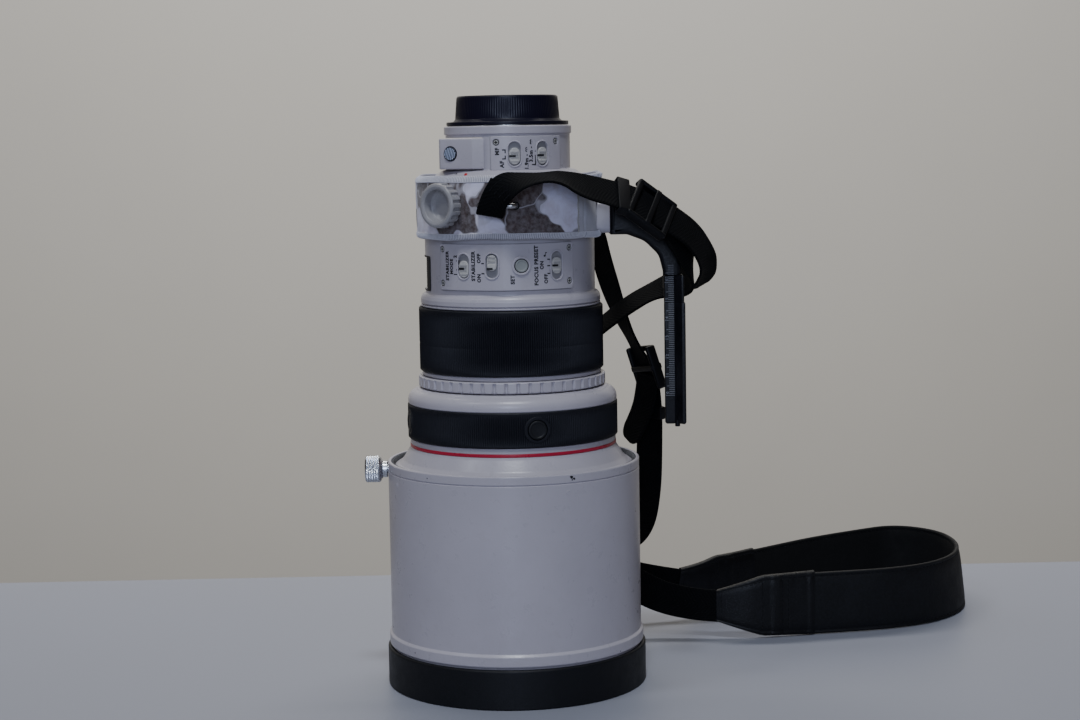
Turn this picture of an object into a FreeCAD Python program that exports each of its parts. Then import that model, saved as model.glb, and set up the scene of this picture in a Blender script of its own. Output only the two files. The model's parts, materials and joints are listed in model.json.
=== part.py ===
import FreeCAD
import Part
import os
from math import cos, sin, radians, pi, sqrt

os.makedirs("parts", exist_ok=True)
V = FreeCAD.Vector

# ---------------------------------------------------------------- dimensions
# All in mm.  +Z is the optical axis, towards the camera.  z = 0 is the plane
# of the hood's front rim, which is what the lens stands on.  +X is the side
# of the tripod foot.
RUN = 0.35               # gap between moving curved faces

HOOD_R = 67.6            # hood tube outside
HOOD_WALL_R = 65.6       # hood tube inside
HOOD_TOP_Z = 122.4
RUBBER_R = 70.0          # hood's rubber front ring
RUBBER_H = 21.0
BEAD_R = 68.8
KNOB_Z = 116.0           # hood lock knob
BARREL_R = 64.0          # front barrel
BARREL_Z0 = 91.0
NECK_R = 55.2
GRIP_Z0, GRIP_Z1, GRIP_R = 133.7, 152.2, 56.3
SHOULDER_Z1 = 160.0
PLAY_Z0, PLAY_Z1, PLAY_R = 160.9, 167.1, 50.0
FOCUS_Z0, FOCUS_Z1, FOCUS_R = 169.9, 203.7, 49.2
SWITCH_R = 45.2          # switch barrel
COLLAR_Z0, COLLAR_Z1 = 241.8, 270.4
COLLAR_BORE = 42.0
COLLAR_R = 47.4
COVER_R = 49.6
COVER_T = 2.0
REAR_R = 33.0
REAR_RING_R = 33.8
REAR_Z0, REAR_Z1 = 271.0, 298.7
CAP_TOP = 314.6
PANEL_T = 1.2            # switch panels' thickness
MAIN_PANEL_AZ = (-142.0, -45.0)
MAIN_PANEL_Z = (214.3, 238.2)
REAR_PANEL_AZ = (-105.5, -37.0)
REAR_PANEL_Z = (275.6, 293.3)
FOOT_X0, FOOT_X1 = 80.5, 92.1     # foot plate, near and far side
FOOT_Z0 = 140.0
STALK_X = 53.0
WEB_W, WEB_T = 19.0, 1.3          # strap webbing
PAD_W, PAD_T = 36.5, 3.0          # strap neck pad
TAB_T = 4.4                       # leather tabs that join webbing and pad


# ------------------------------------------------------------------- helpers
def rev(points):
    """Solid of revolution about Z from (r, z) corners."""
    pts = [V(r, 0, z) for r, z in points]
    wire = Part.makePolygon(pts + [pts[0]])
    return Part.Face(wire).revolve(V(0, 0, 0), V(0, 0, 1), 360)


def ring(r0, r1, z0, z1):
    return rev([(r0, z0), (r1, z0), (r1, z1), (r0, z1)])


def disc(r, z0, z1, x=0.0, y=0.0):
    return Part.makeCylinder(r, z1 - z0, V(x, y, z0))


def arc_pts(cr, cz, r, a0, a1, n=6):
    """Points of an arc in the (r, z) plane."""
    return [(cr + r * cos(radians(a0 + (a1 - a0) * i / n)),
             cz + r * sin(radians(a0 + (a1 - a0) * i / n))) for i in range(n + 1)]


def sector(r0, r1, z0, z1, a0, a1):
    """Part of a ring between two azimuths."""
    pts = [V(r0, 0, z0), V(r1, 0, z0), V(r1, 0, z1), V(r0, 0, z1)]
    f = Part.Face(Part.makePolygon(pts + [pts[0]]))
    f.rotate(V(0, 0, 0), V(0, 0, 1), a0)
    return f.revolve(V(0, 0, 0), V(0, 0, 1), a1 - a0)


def placed(shape, az, z):
    """Turn a shape built along +X at z = 0 to an azimuth and height."""
    s = shape.copy()
    s.rotate(V(0, 0, 0), V(0, 0, 1), az)
    s.translate(V(0, 0, z))
    return s


def rad_cyl(r, x0, x1, az, z):
    """Cylinder whose axis is radial."""
    return placed(Part.makeCylinder(r, x1 - x0, V(x0, 0, 0), V(1, 0, 0)), az, z)


def rad_box(w, h, x0, x1, az, z):
    return placed(Part.makeBox(x1 - x0, w, h, V(x0, -w / 2, -h / 2)), az, z)


def rad_slot(w, h, x0, x1, az, z):
    """Prism with round ends, long along Z, cut radially."""
    r = w / 2.0
    s = Part.makeBox(x1 - x0, w, h - w, V(x0, -r, -(h - w) / 2))
    s = s.fuse(Part.makeCylinder(r, x1 - x0, V(x0, 0, (h - w) / 2), V(1, 0, 0)))
    s = s.fuse(Part.makeCylinder(r, x1 - x0, V(x0, 0, -(h - w) / 2), V(1, 0, 0)))
    return placed(s.removeSplitter(), az, z)


def cut(a, *tools):
    for t in tools:
        a = a.cut(t)
    return a


def solids_of(shape):
    return shape.Solids if hasattr(shape, "Solids") else [shape]


def save(name, *shapes):
    out = []
    for s in shapes:
        out += solids_of(s)
    for s in out:
        if not s.isValid() or s.Volume <= 0:
            print("BAD", name, s.isValid(), s.Volume)
    obj = out[0] if len(out) == 1 else Part.makeCompound(out)
    obj.exportStep("parts/%s.step" % name)


def lens(r, z, t, c_front, c_back):
    """Glass element: rim radius r, mid-plane z, rim thickness t, sags of its lower and upper face."""
    n = 8
    def face(z0, sag):
        if abs(sag) < 0.05:
            return [(r * i / n, z0) for i in range(n + 1)]
        big = (r * r + sag * sag) / (2 * abs(sag))
        s = 1 if sag > 0 else -1
        return [(r * i / n, z0 + s * (sqrt(big * big - (r * i / n) ** 2) - (big - abs(sag)))) for i in range(n + 1)]
    low = face(z - t / 2, c_front)
    top = face(z + t / 2, c_back)
    return rev(low + top[::-1])


# ---------------------------------------------------------------------- hood
tube = rev([(HOOD_WALL_R, 3.0), (HOOD_R, 3.0), (HOOD_R, 21.4), (68.3, 21.6), (BEAD_R, 22.4),
            (BEAD_R, 27.6), (68.3, 28.4), (HOOD_R, 28.8),
            (HOOD_R, 117.3), (67.2, 117.6), (HOOD_R, 117.9), (HOOD_R, 120.2), (67.3, 121.3), (66.6, 122.1),
            (65.9, HOOD_TOP_Z), (65.0, 122.2), (64.7, 121.6), (64.7, 120.6), (HOOD_WALL_R, 120.5), (HOOD_WALL_R, 90.85),
            (60.5, 90.85), (60.5, 88.6), (63.6, 88.6), (HOOD_WALL_R, 86.6)])
screw_az = [-65.7 + 90 * k for k in range(4)]
hood_screw = [rad_cyl(1.6, 66.6, 67.75, a, 111.4) for a in screw_az]
tube = cut(tube, Part.makeCylinder(2.9, 12, V(-72, 0, KNOB_Z), V(1, 0, 0)), *hood_screw)
save("hood_tube", tube)
save("hood_screws", *[cut(s, rad_box(0.5, 2.4, 67.45, 68.5, a, 111.4)) for s, a in zip(hood_screw, screw_az)])
save("hood_rubber_ring", rev([(64.4, 0), (RUBBER_R, 0), (RUBBER_R, 19.6), (69.6, 20.6), (68.9, 21.0),
                              (HOOD_R, 21.0), (HOOD_R, 3.0), (64.4, 3.0)]))
save("hood_felt_lining", cut(ring(64.45, HOOD_WALL_R, 99.0, 120.5),
                             Part.makeCylinder(3.4, 12, V(-72, 0, KNOB_Z), V(1, 0, 0))))
knob = rev([(0.0, 0.0), (2.5, 0.0), (2.5, 3.65), (4.6, 3.65), (4.6, 6.2), (5.2, 6.9), (6.5, 7.1), (7.2, 7.9), (7.2, 14.0), (6.6, 15.2), (5.4, 15.7), (0.0, 15.7)])
knob = knob.cut(Part.makeCylinder(1.4, 2.6, V(0, 0, 13.5)))
knob.rotate(V(0, 0, 0), V(0, 1, 0), -90)
knob.translate(V(-64.3, 0, KNOB_Z))
save("hood_lock_knob", knob)

# -------------------------------------------------------------- front barrel
save("front_barrel", rev([(60.0, BARREL_Z0), (BARREL_R, BARREL_Z0), (BARREL_R, 118.4), (63.4, 119.0), (61.9, 119.7), (60.2, 121.0), (58.7, 122.9),
                          (57.4, 125.0), (56.3, 126.8), (55.5, 128.0), (NECK_R, 129.1),
                          (54.2, 129.1), (54.2, 130.6), (NECK_R, 130.6), (NECK_R, 133.4), (54.9, GRIP_Z0),
                          (50.0, GRIP_Z0), (50.0, 126.0), (55.0, 119.0), (60.0, 114.5)]))
save("red_ring", ring(54.2, 55.35, 129.1, 130.6))
save("front_cell", rev([(51.5, 92.0), (60.0, 92.0), (60.0, 113.0), (57.5, 115.0), (51.5, 115.0), (51.5, 112.0), (56.0, 112.0), (56.0, 93.6), (51.5, 93.6)]))
save("front_lens_group",
     lens(55.9, 96.4, 4.4, -1.4, -1.4),
     lens(55.9, 102.7, 2.6, -2.0, 2.8),
     lens(55.9, 109.4, 2.4, -1.0, 1.6))

# stop-button grip
btn_az = [-77.0, -167.0, 13.0, 103.0]
BTN_Z = 143.0
grip = rev([(52.0, GRIP_Z0), (55.6, GRIP_Z0), (GRIP_R, GRIP_Z0 + 0.7), (GRIP_R, GRIP_Z1 - 0.7), (55.6, GRIP_Z1), (52.0, GRIP_Z1)])
for a in btn_az:
    grip = grip.fuse(rad_cyl(7.0, 54.0, 56.75, a, BTN_Z))
grip = grip.cut(disc(52.0, GRIP_Z0 - 1, GRIP_Z1 + 1))
for a in btn_az:
    grip = grip.cut(rad_cyl(5.25, 50.0, 60.0, a, BTN_Z))
save("stop_button_grip", grip)
for i, a in enumerate(btn_az):
    b = Part.makeCylinder(4.9, 4.2, V(53.05, 0, 0), V(1, 0, 0))
    b = b.makeChamfer(0.5, [e for e in b.Edges if abs(e.BoundBox.XMin - 57.25) < 1e-3 and e.BoundBox.XLength < 1e-3])
    save("stop_button_%d" % (i + 1), placed(b, a, BTN_Z))

# ---------------------------------------------------------------- mid barrel
mid = [(43.0, 126.0), (50.0, 126.0), (50.0, GRIP_Z0), (52.0, GRIP_Z0), (52.0, GRIP_Z1), (55.8, GRIP_Z1), (56.0, 152.6), (56.0, 153.8)]
mid += arc_pts(50.4, 154.0, 5.6, 0, 78, 6)
mid += [(50.6, SHOULDER_Z1), (49.0, SHOULDER_Z1 + 0.5), (46.0, SHOULDER_Z1 + 0.5), (46.0, 167.4), (47.6, 167.4), (47.9, 167.7), (47.9, 169.3), (47.6, 169.6),
        (45.2, 169.6), (45.2, 204.0), (43.0, 204.0)]
save("mid_barrel", rev(mid))

# playback ring: about fifty broad ribs
play = ring(46.3, PLAY_R, PLAY_Z0, PLAY_Z1)
play = play.makeChamfer(0.5, [e for e in play.Edges if abs(e.Length - 2 * pi * PLAY_R) < 0.01 and e.BoundBox.ZLength < 1e-3])
save("playback_ring", play)

# focus ring
save("focus_sleeve", ring(45.2 + 0.3, 47.6, FOCUS_Z0, FOCUS_Z1))
save("focus_grip", rev([(47.6, FOCUS_Z0), (48.7, FOCUS_Z0), (FOCUS_R, FOCUS_Z0 + 0.5), (FOCUS_R, FOCUS_Z1 - 0.5), (48.7, FOCUS_Z1), (47.6, FOCUS_Z1)]))

# ------------------------------------------------------------- switch barrel
WIN_AZ, WIN_HALF = 180.0, 15.0
WIN_Z = (213.2, 230.5)
sb = [(39.5, 204.0), (47.7, 204.0), (48.0, 204.3), (48.0, 205.2), (47.6, 205.5), (48.0, 205.8), (48.0, 208.4), (47.6, 209.6), (46.7, 210.6), (45.6, 211.1),
      (SWITCH_R, 211.8), (SWITCH_R, 240.6), (44.9, 241.0), (COLLAR_BORE, 241.0), (COLLAR_BORE, REAR_Z0), (39.5, REAR_Z0)]
switch_barrel = rev(sb)
switch_barrel = switch_barrel.cut(sector(38.0, 50.0, WIN_Z[0], WIN_Z[1], WIN_AZ - WIN_HALF, WIN_AZ + WIN_HALF))

# azimuth, height of the middle, slot height, slider height at rest
slots = {"stabiliser_mode_switch": (-121.1, 226.85, 12.6, 225.35), "stabiliser_switch": (-101.6, 227.1, 12.6, 228.6),
         "focus_preset_switch": (-58.6, 226.6, 14.4, 226.6)}
SLOT_W = 6.4
SLIDE_W, SLIDE_H = 5.6, 8.6
SET_AZ, SET_Z = -82.8, 227.0
for a, z, h, _ in slots.values():
    switch_barrel = switch_barrel.cut(rad_slot(SLOT_W, h, 43.6, 50, a, z))
switch_barrel = switch_barrel.cut(rad_cyl(3.6, 42.9, 50, SET_AZ, SET_Z))
PR = SWITCH_R + PANEL_T
panel = sector(SWITCH_R, PR, MAIN_PANEL_Z[0], MAIN_PANEL_Z[1], *MAIN_PANEL_AZ)
for a, z, h, _ in slots.values():
    panel = panel.cut(rad_slot(SLOT_W, h, 43.6, 50, a, z))
panel = panel.cut(rad_cyl(3.6, 42, 50, SET_AZ, SET_Z))
main_scr = [(-139.6, 235.3), (-139.6, 217.6), (-48.2, 235.5), (-48.2, 218.2)]
main_scr_s = [rad_cyl(1.3, PR - 0.9, PR + 0.1, a, z) for a, z in main_scr]
panel = cut(panel, *main_scr_s)
save("main_switch_panel", panel)
save("switch_barrel", switch_barrel)
save("distance_window", sector(43.5, 44.6, WIN_Z[0], WIN_Z[1], WIN_AZ - WIN_HALF, WIN_AZ + WIN_HALF))
for name, (a, _, _, z) in slots.items():
    save(name, rad_slot(SLIDE_W, SLIDE_H, 43.9, 46.9, a, z))
save("set_button", rad_cyl(3.2, 43.9, PR + 0.7, SET_AZ, SET_Z))

# --------------------------------------------------------------- inner works
save("motor_stator", ring(37.5, 43.0, 186.0, 191.0))
save("motor_rotor", ring(37.8, 42.6, 191.3, 195.0))
save("focus_cell", rev([(30.0, 140.0), (42.6, 140.0), (42.6, 142.5), (36.0, 142.5), (36.0, 158.0), (30.0, 158.0), (30.0, 156.0), (33.0, 156.0), (33.0, 142.0), (30.0, 142.0)]))
save("focus_lens_group", lens(32.9, 146.0, 3.4, 1.5, -1.2), lens(32.9, 152.0, 3.0, -0.4, 1.4))
save("distance_scale", rev([(36.9, 207.0), (39.1, 207.0), (39.1, 232.0), (38.1, 232.0), (38.1, 209.0), (36.9, 209.0)]))
save("stabiliser_guide", cut(ring(30.5, 35.8, 214.0, 217.0)))
save("stabiliser_carrier", ring(22.0, 29.5, 217.3, 222.3).fuse(ring(22.0, 35.0, 217.3, 218.6)).removeSplitter())
save("stabiliser_lens", lens(21.95, 219.8, 2.6, -0.8, 0.8))
save("iris_housing", ring(24.0, 39.5, 238.0, 240.0).fuse(ring(37.5, 39.5, 240.0, 247.5)).removeSplitter())
blades = []
for k in range(8):
    z = 240.15 + 0.25 * k
    b = sector(25.0, 33.5, z, z + 0.15, 45 * k, 45 * k + 78)
    b = b.cut(disc(25.5, z - 1, z + 1, 2.0 * cos(radians(45 * k + 39)), 2.0 * sin(radians(45 * k + 39))))
    blades.append(b)
save("iris_blades", *blades)
save("iris_cam_ring", ring(24.5, 37.1, 242.6, 244.2))
save("circuit_board", cut(ring(27.0, 39.5, 249.0, 250.6), Part.makeBox(20, 18, 4, V(26, -9, 248))))

# --------------------------------------------------------------- rear barrel
HOLD_Z0, HOLD_Z1 = 276.5, 292.5
rear = rev([(21.0, 254.0), (24.0, 254.0), (24.0, REAR_Z0), (45.6, REAR_Z0), (46.0, 271.4), (46.0, 273.2), (45.2, 274.2), (34.4, 274.6), (REAR_R, 275.0), (REAR_R, 294.2),
            (33.3, 294.4), (REAR_RING_R, 294.8), (REAR_RING_R, 298.3), (33.4, 298.7), (32.4, 298.7), (32.4, 297.6), (24.0, 297.6), (24.0, 276.0), (21.0, 276.0)])
slot = Part.makeBox(80, 100, HOLD_Z1 - HOLD_Z0 + 0.6, V(-93.3, -50, HOLD_Z0 - 0.3))
slot = slot.fuse(Part.makeBox(40, 57.6, HOLD_Z1 - HOLD_Z0 + 0.6, V(-40, -28.8, HOLD_Z0 - 0.3)))
slot = slot.fuse(disc(28.8, HOLD_Z0 - 0.3, HOLD_Z1 + 0.3))
rear = rear.cut(slot)
rear_slots = {"af_mode_switch": (-84.3, 284.1, 12.4, 282.9), "focus_range_switch": (-58.6, 284.1, 12.4, 283.0)}
for a, z, h, _ in rear_slots.values():
    rear = rear.cut(rad_slot(SLOT_W, h, 31.4, 40, a, z))
RP = REAR_R + PANEL_T
rpanel = sector(REAR_R, RP, REAR_PANEL_Z[0], REAR_PANEL_Z[1], *REAR_PANEL_AZ)
for a, z, h, _ in rear_slots.values():
    rpanel = rpanel.cut(rad_slot(SLOT_W, h, 31, 40, a, z))
rear_scr = [(-100.4, 290.2), (-43.2, 290.4)]
rear_scr_s = [rad_cyl(1.3, RP - 0.9, RP + 0.1, a, z) for a, z in rear_scr]
rpanel = cut(rpanel, *rear_scr_s)
save("rear_switch_panel", rpanel)
for name, (a, _, _, z) in rear_slots.items():
    save(name, rad_slot(SLIDE_W, SLIDE_H, 31.7, 34.8, a, z))

mount_scr_az = [45, 135, 225, 315]
MSR = 29.0
msc = [disc(1.5, 297.8, 299.0, MSR * cos(radians(a)), MSR * sin(radians(a))) for a in mount_scr_az]
bay = rev([(21.0, 297.6), (32.4, 297.6), (32.4, 299.0), (24.0, 299.0), (24.0, 304.2), (23.6, 304.6), (21.0, 304.6)])
for k in range(3):
    bay = bay.fuse(sector(23.5, 25.8, 300.6, 302.2, 120 * k - 27, 120 * k + 27))
bay = cut(bay.removeSplitter(), *msc)
save("mount_bayonet", bay)
save("mount_contacts", sector(18.6, 20.95, 298.6, 303.6, 58, 122))
save("rear_barrel", rear)
drv = []
for s, (a, z) in zip(main_scr_s, main_scr):
    drv.append(cut(s, rad_box(0.45, 1.6, PR - 0.3, PR + 1, a, z), rad_box(1.6, 0.45, PR - 0.3, PR + 1, a, z)))
for s, (a, z) in zip(rear_scr_s, rear_scr):
    drv.append(cut(s, rad_box(0.45, 1.6, RP - 0.3, RP + 1, a, z), rad_box(1.6, 0.45, RP - 0.3, RP + 1, a, z)))
save("barrel_screws", *(drv + msc))
save("rear_lens_group", lens(20.9, 258.0, 3.0, -1.0, 1.2), lens(20.9, 265.0, 2.6, 0.9, 0.9), lens(20.9, 272.0, 2.6, -1.0, 0.7))

# ------------------------------------------------- drop-in filter and holder
def poly_prism(pts, z0, z1):
    w = Part.makePolygon([V(x, y, z0) for x, y in pts] + [V(pts[0][0], pts[0][1], z0)])
    return Part.Face(w).extrude(V(0, 0, z1 - z0))


half = [(-13.7, 32.1), (-18.8, 30.4), (-36.6, 21.6)]
block = poly_prism([(x, -y) for x, y in half] + [(x, y) for x, y in half[::-1]], HOLD_Z0, HOLD_Z1)


def vertical_at(shape, pts, tol=0.05):
    out = []
    for e in shape.Edges:
        bb = e.BoundBox
        if bb.XLength < 1e-3 and bb.YLength < 1e-3:
            if any(abs(bb.XMin - x) < tol and abs(abs(bb.YMin) - y) < tol for x, y in pts):
                out.append(e)
    return out


block = block.makeFillet(4.0, vertical_at(block, [half[2]]))
block = block.makeFillet(6.0, vertical_at(block, [half[1]]))
top_edges = [e for e in block.Edges if e.BoundBox.ZLength < 1e-3 and e.BoundBox.XMin < -13.8 and e.BoundBox.XMax <= -13.6]
try:
    block = block.makeFillet(0.9, top_edges)
except Exception as err:
    print("edge fillet left out:", err)
holder = block.fuse(disc(28.4, HOLD_Z0 + 0.6, HOLD_Z1 - 0.6))
holder = holder.cut(disc(24.5, HOLD_Z0 - 5, HOLD_Z1 + 5)).removeSplitter()
nx, ny = -8.8 / 20.04, 18.0 / 20.04
BX, BY, BZ = -29.9, 24.9, 284.6
rel = {}
for name, s in (("filter_release_button_left", -1), ("filter_release_button_right", 1)):
    c = V(BX, s * BY, BZ)
    n = V(nx, s * ny, 0)
    face = c + n * 0.0
    holder = holder.cut(Part.makeCylinder(4.0, 9.0, face - n * 4.6, n))
    b = Part.makeCylinder(3.6, 3.2, face - n * 2.6, n)
    rel[name] = b
save("filter_holder", holder)
for name, b in rel.items():
    save(name, b)
save("drop_in_filter", disc(24.5, 283.4, 285.4))

# ------------------------------------------------------------------ rear cap
save("rear_cap", rev([(30.0, 299.1), (32.2, 299.1), (32.5, 299.5), (32.5, 300.7), (32.2, 301.0), (28.6, 301.2), (27.8, 301.9), (27.6, 302.8), (26.8, 313.8), (26.3, 314.4), (25.6, CAP_TOP),
                      (0.0, CAP_TOP), (0.0, 312.8), (25.2, 312.8), (26.2, 303.2), (26.6, 299.8), (30.0, 299.8)]))

# -------------------------------------------------------------------- collar
LUG_AZ, LUG_Z, LUG_R = 96.0, 258.0, 54.2
CK_AZ, CK_Z = -130.0, 258.4
collar = rev([(COLLAR_BORE + 0.3, COLLAR_Z0), (46.8, COLLAR_Z0), (COLLAR_R, COLLAR_Z0 + 0.6), (COLLAR_R, COLLAR_Z1 - 0.6), (46.8, COLLAR_Z1), (COLLAR_BORE + 0.3, COLLAR_Z1)])
stalk = Part.makeBox(STALK_X - 40, 30, 17.2, V(40, -15, 241.6))
stalk = stalk.makeFillet(2.5, [e for e in stalk.Edges if e.BoundBox.XLength > 5])
collar = collar.fuse(stalk).cut(disc(COLLAR_BORE + 0.3, 230, 280)).removeSplitter()
collar = collar.cut(rad_cyl(3.35, 40, 50, CK_AZ, CK_Z))
save("collar_ring", collar)
lugs = []
for s in (-1, 1):
    bar = Part.makeCylinder(1.6, 21.0, V(LUG_R, -10.5, 0), V(0, 1, 0))
    for y in (-9.0, 9.0):
        bar = bar.fuse(Part.makeCylinder(1.4, LUG_R - 46.45, V(46.45, y, 0), V(1, 0, 0)))
    # the posts stop on the ring's outside
    bar = placed(bar.removeSplitter(), s * LUG_AZ, LUG_Z)
    lugs.append(bar.cut(disc(COLLAR_R, 200, 300)))
save("strap_lugs", *lugs)
ck = rev([(0.0, 1.6), (3.0, 1.6), (3.0, 7.7), (9.6, 7.7), (11.0, 8.6), (11.5, 9.8), (11.5, 13.6), (10.8, 15.0), (9.4, 15.6), (8.3, 15.7), (8.0, 14.6), (6.6, 13.7), (0.0, 13.5)])
ck.rotate(V(0, 0, 0), V(0, 1, 0), 90)
ck.translate(V(42.7, 0, 0))
save("collar_knob", placed(ck, CK_AZ, CK_Z))

cover = rev([(COLLAR_R + 0.05, 240.9), (COVER_R - 0.8, 240.9), (COVER_R, 242.2), (COVER_R + 0.3, 255.5), (COVER_R, 269.0), (COVER_R - 0.8, 270.2), (COLLAR_R + 0.05, 270.2)])
cover = cover.cut(Part.makeBox(20, 30.4, 18.6, V(42, -15.2, 240.5)))
cover = cover.cut(rad_cyl(4.6, 44, 55, CK_AZ, CK_Z))
for s in (-1, 1):
    cover = cover.cut(rad_box(24.0, 5.0, 44, 55, s * LUG_AZ, LUG_Z))
save("collar_cover", cover)

# ---------------------------------------------------------------- tripod foot
def xz_prism(pts, y0, y1):
    w = Part.makePolygon([V(x, y0, z) for x, z in pts] + [V(pts[0][0], y0, pts[0][1])])
    return Part.Face(w).extrude(V(0, y1 - y0, 0))


arm = [(STALK_X, 240.6), (62.0, 240.6), (68.5, 238.4), (75.0, 234.0), (79.2, 228.6), (FOOT_X0, 222.0), (FOOT_X0, 215.0), (FOOT_X1 - 2, 215.0),
       (FOOT_X1 - 2, 226.0), (90.2, 236.0), (85.0, 246.0), (77.5, 253.0), (67.0, 257.6), (STALK_X, 258.8)]
foot = xz_prism(arm, -15.0, 15.0)
body_x = 86.4
prof = [(FOOT_X0 + 0.6, -16.0), (FOOT_X0, -15.4), (FOOT_X0, 15.4), (FOOT_X0 + 0.6, 16.0), (body_x, 16.0), (body_x, 15.2), (90.2, 19.0), (FOOT_X1 - 0.4, 19.0), (FOOT_X1, 18.6),
        (FOOT_X1, -18.6), (FOOT_X1 - 0.4, -19.0), (90.2, -19.0), (body_x, -15.2), (body_x, -16.0)]
plate = poly_prism(prof, FOOT_Z0, 219.0)
foot = foot.fuse(plate).removeSplitter()
foot = foot.cut(Part.makeCylinder(3.97, 9.5, V(FOOT_X1 - 9.5, 0, 196.0), V(1, 0, 0)))
for z in (166.0,):
    foot = foot.cut(Part.makeCylinder(2.6, 9.5, V(FOOT_X1 - 9.5, 0, z), V(1, 0, 0)))
pin = Part.makeCylinder(1.4, 4.0, V(88.2, -15.2, FOOT_Z0 - 2.4))
foot = foot.cut(pin)
# shallow step: the plate's mounting face ends below the arm
foot = foot.cut(Part.makeBox(5.0, 60.0, 40.0, V(FOOT_X1 - 0.6, -30.0, 205.0)))
save("tripod_foot", foot, pin)

# --------------------------------------------------------------------- strap
# Each run of the strap is given by control points: x, y, z of its middle line
# and the direction of its width.  The line is a quadratic B-spline.
WEB_FRONT = [
    (-6.5, -57.2, 257.0, 1, 0, 0.05), (-7.5, -60.0, 263.5, 1, 0, 0.25), (-5.0, -61.5, 270.5, 0.9, 0.35, 0.5),
    (5.0, -60.0, 272.0, 0.5, 0.85, 0.35), (20.0, -54.0, 269.5, 0.15, 0.92, 0.3), (36.0, -42.0, 264.5, 0.15, 0.75, 0.6),
    (51.0, -32.0, 261.0, 0.2, 0.65, 0.7), (66.0, -27.0, 256.0, 0.35, 0.5, 0.75), (79.0, -23.5, 247.5, 0.45, 0.5, 0.72),
    (91.2, -17.8, 238.6, 0.4, 0.7, 0.55), (98.2, -5.0, 227.5, 0.3, 0.85, 0.4), (99.5, 12.0, 217.0, 0.2, 0.9, 0.3),
    (97.8, 29.5, 211.0, 0.1, 0.95, 0.2), (80.0, 31.0, 208.5, 0.1, 0.9, 0.4), (61.5, 34.0, 197.5, 0.3, 0.72, 0.68),
    (44.5, 49.5, 182.0, 0.5, 0.35, 0.85), (24.0, 74.0, 163.0, 0.65, 0.35, 0.7), (2.0, 88.0, 138.0, 0.8, 0.55, 0.2),
    (-8.0, 92.0, 104.0, 0.75, 0.6, 0.0), (6.0, 93.0, 72.0, 0.75, 0.3, 0.5), (34.0, 92.0, 50.0, 0.45, 0.2, 0.8),
    (64.0, 89.0, 34.0, 0.3, 0.0, 1), (92.0, 85.0, 19.5, 0.05, 0, 1), (118.0, 79.0, 18.9, 0, 0, 1)]
WEB_REAR = [
    (-6.5, 57.2, 257.0, 1, 0, 0.05), (-5.0, 60.0, 262.0, 1, -0.1, 0.2), (3.0, 61.5, 264.0, 0.8, -0.5, 0.4),
    (15.0, 60.0, 262.0, 0.4, -0.85, 0.3), (29.0, 55.0, 257.0, 0.25, -0.85, 0.45), (41.0, 47.0, 250.0, 0.35, -0.85, 0.3),
    (47.5, 42.0, 242.0, 0.45, -0.85, 0.05), (50.5, 46.5, 227.0, 0.55, -0.83, -0.1), (55.5, 53.5, 209.0, 0.6, -0.8, -0.1),
    (62.0, 57.5, 190.0, 0.4, -0.9, -0.1), (69.5, 58.5, 175.0, 0.25, -0.95, -0.1), (77.0, 58.0, 160.0, 0.5, -0.85, -0.1),
    (78.0, 59.0, 140.0, 0.65, -0.75, 0.0), (77.5, 61.0, 118.0, 0.7, -0.7, 0.0), (77.0, 65.0, 94.0, 0.7, -0.7, 0.0),
    (74.0, 75.0, 71.0, 0.65, -0.65, -0.2), (65.0, 95.0, 57.5, 0.4, -0.6, -0.6), (51.0, 107.0, 42.0, 0.0, -0.4, -0.9),
    (58.0, 121.0, 32.0, -0.25, -0.1, -0.95), (78.0, 125.0, 25.5, -0.25, 0, -1), (99.0, 128.3, 21.5, -0.1, 0, -1)]
TAIL_FRONT = [
    (75.0, -27.2, 252.0, 0.42, 0.5, 0.74), (89.0, -21.5, 242.5, 0.5, 0.65, 0.5), (100.5, -12.5, 231.5, 0.6, 0.6, 0.5),
    (105.3, 0.0, 221.5, 0.5, 0.75, 0.4), (105.6, 11.5, 216.5, 0.3, 0.9, 0.3), (103.2, 21.5, 213.5, 0.15, 0.95, 0.25)]
TAIL_REAR = [
    (76.2, 55.9, 158.0, 0.5, -0.85, -0.1), (76.0, 57.0, 149.0, 0.55, -0.8, -0.2), (72.7, 59.8, 134.0, 0.5, -0.85, -0.2),
    (65.2, 62.5, 120.0, 0.45, -0.85, -0.2)]
TAB_FRONT = [(117.0, 79.3, 19.2, 0, 0, 1), (130.0, 76.0, 19.2, 0, 0, 1), (145.0, 77.0, 19.2, 0, 0, 1), (165.0, 81.0, 19.2, 0, 0, 1), (174.0, 83.0, 19.2, 0, 0, 1)]
TAB_REAR = [(146.0, 153.5, 19.2, 0, 0, 1), (136.0, 145.5, 19.2, 0, 0, 1), (122.0, 137.0, 19.2, 0, 0, 1), (108.0, 131.0, 20.5, 0.05, 0, 1), (98.0, 128.0, 22.5, 0.1, 0, 1)]
PAD = [
    (171.0, 82.5, 18.6, 0, 0, 1), (200.0, 87.0, 18.6, 0, 0, 1), (227.0, 94.0, 18.6, 0, 0, 1), (251.0, 108.0, 18.5, -0.06, 0, 1),
    (271.0, 135.0, 18.5, -0.12, 0, 1), (279.0, 172.0, 18.5, -0.12, 0, 1), (273.0, 209.0, 18.5, -0.08, 0, 1), (247.0, 229.0, 18.6, 0, 0, 1),
    (219.0, 212.0, 18.6, 0, 0, 1), (188.0, 191.0, 18.6, 0, 0, 1), (162.0, 168.0, 18.6, 0, 0, 1), (143.0, 151.0, 18.6, 0, 0, 1)]
TAB_W = [19.0, 26.0, 38.0, 38.0, 38.0]


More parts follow.
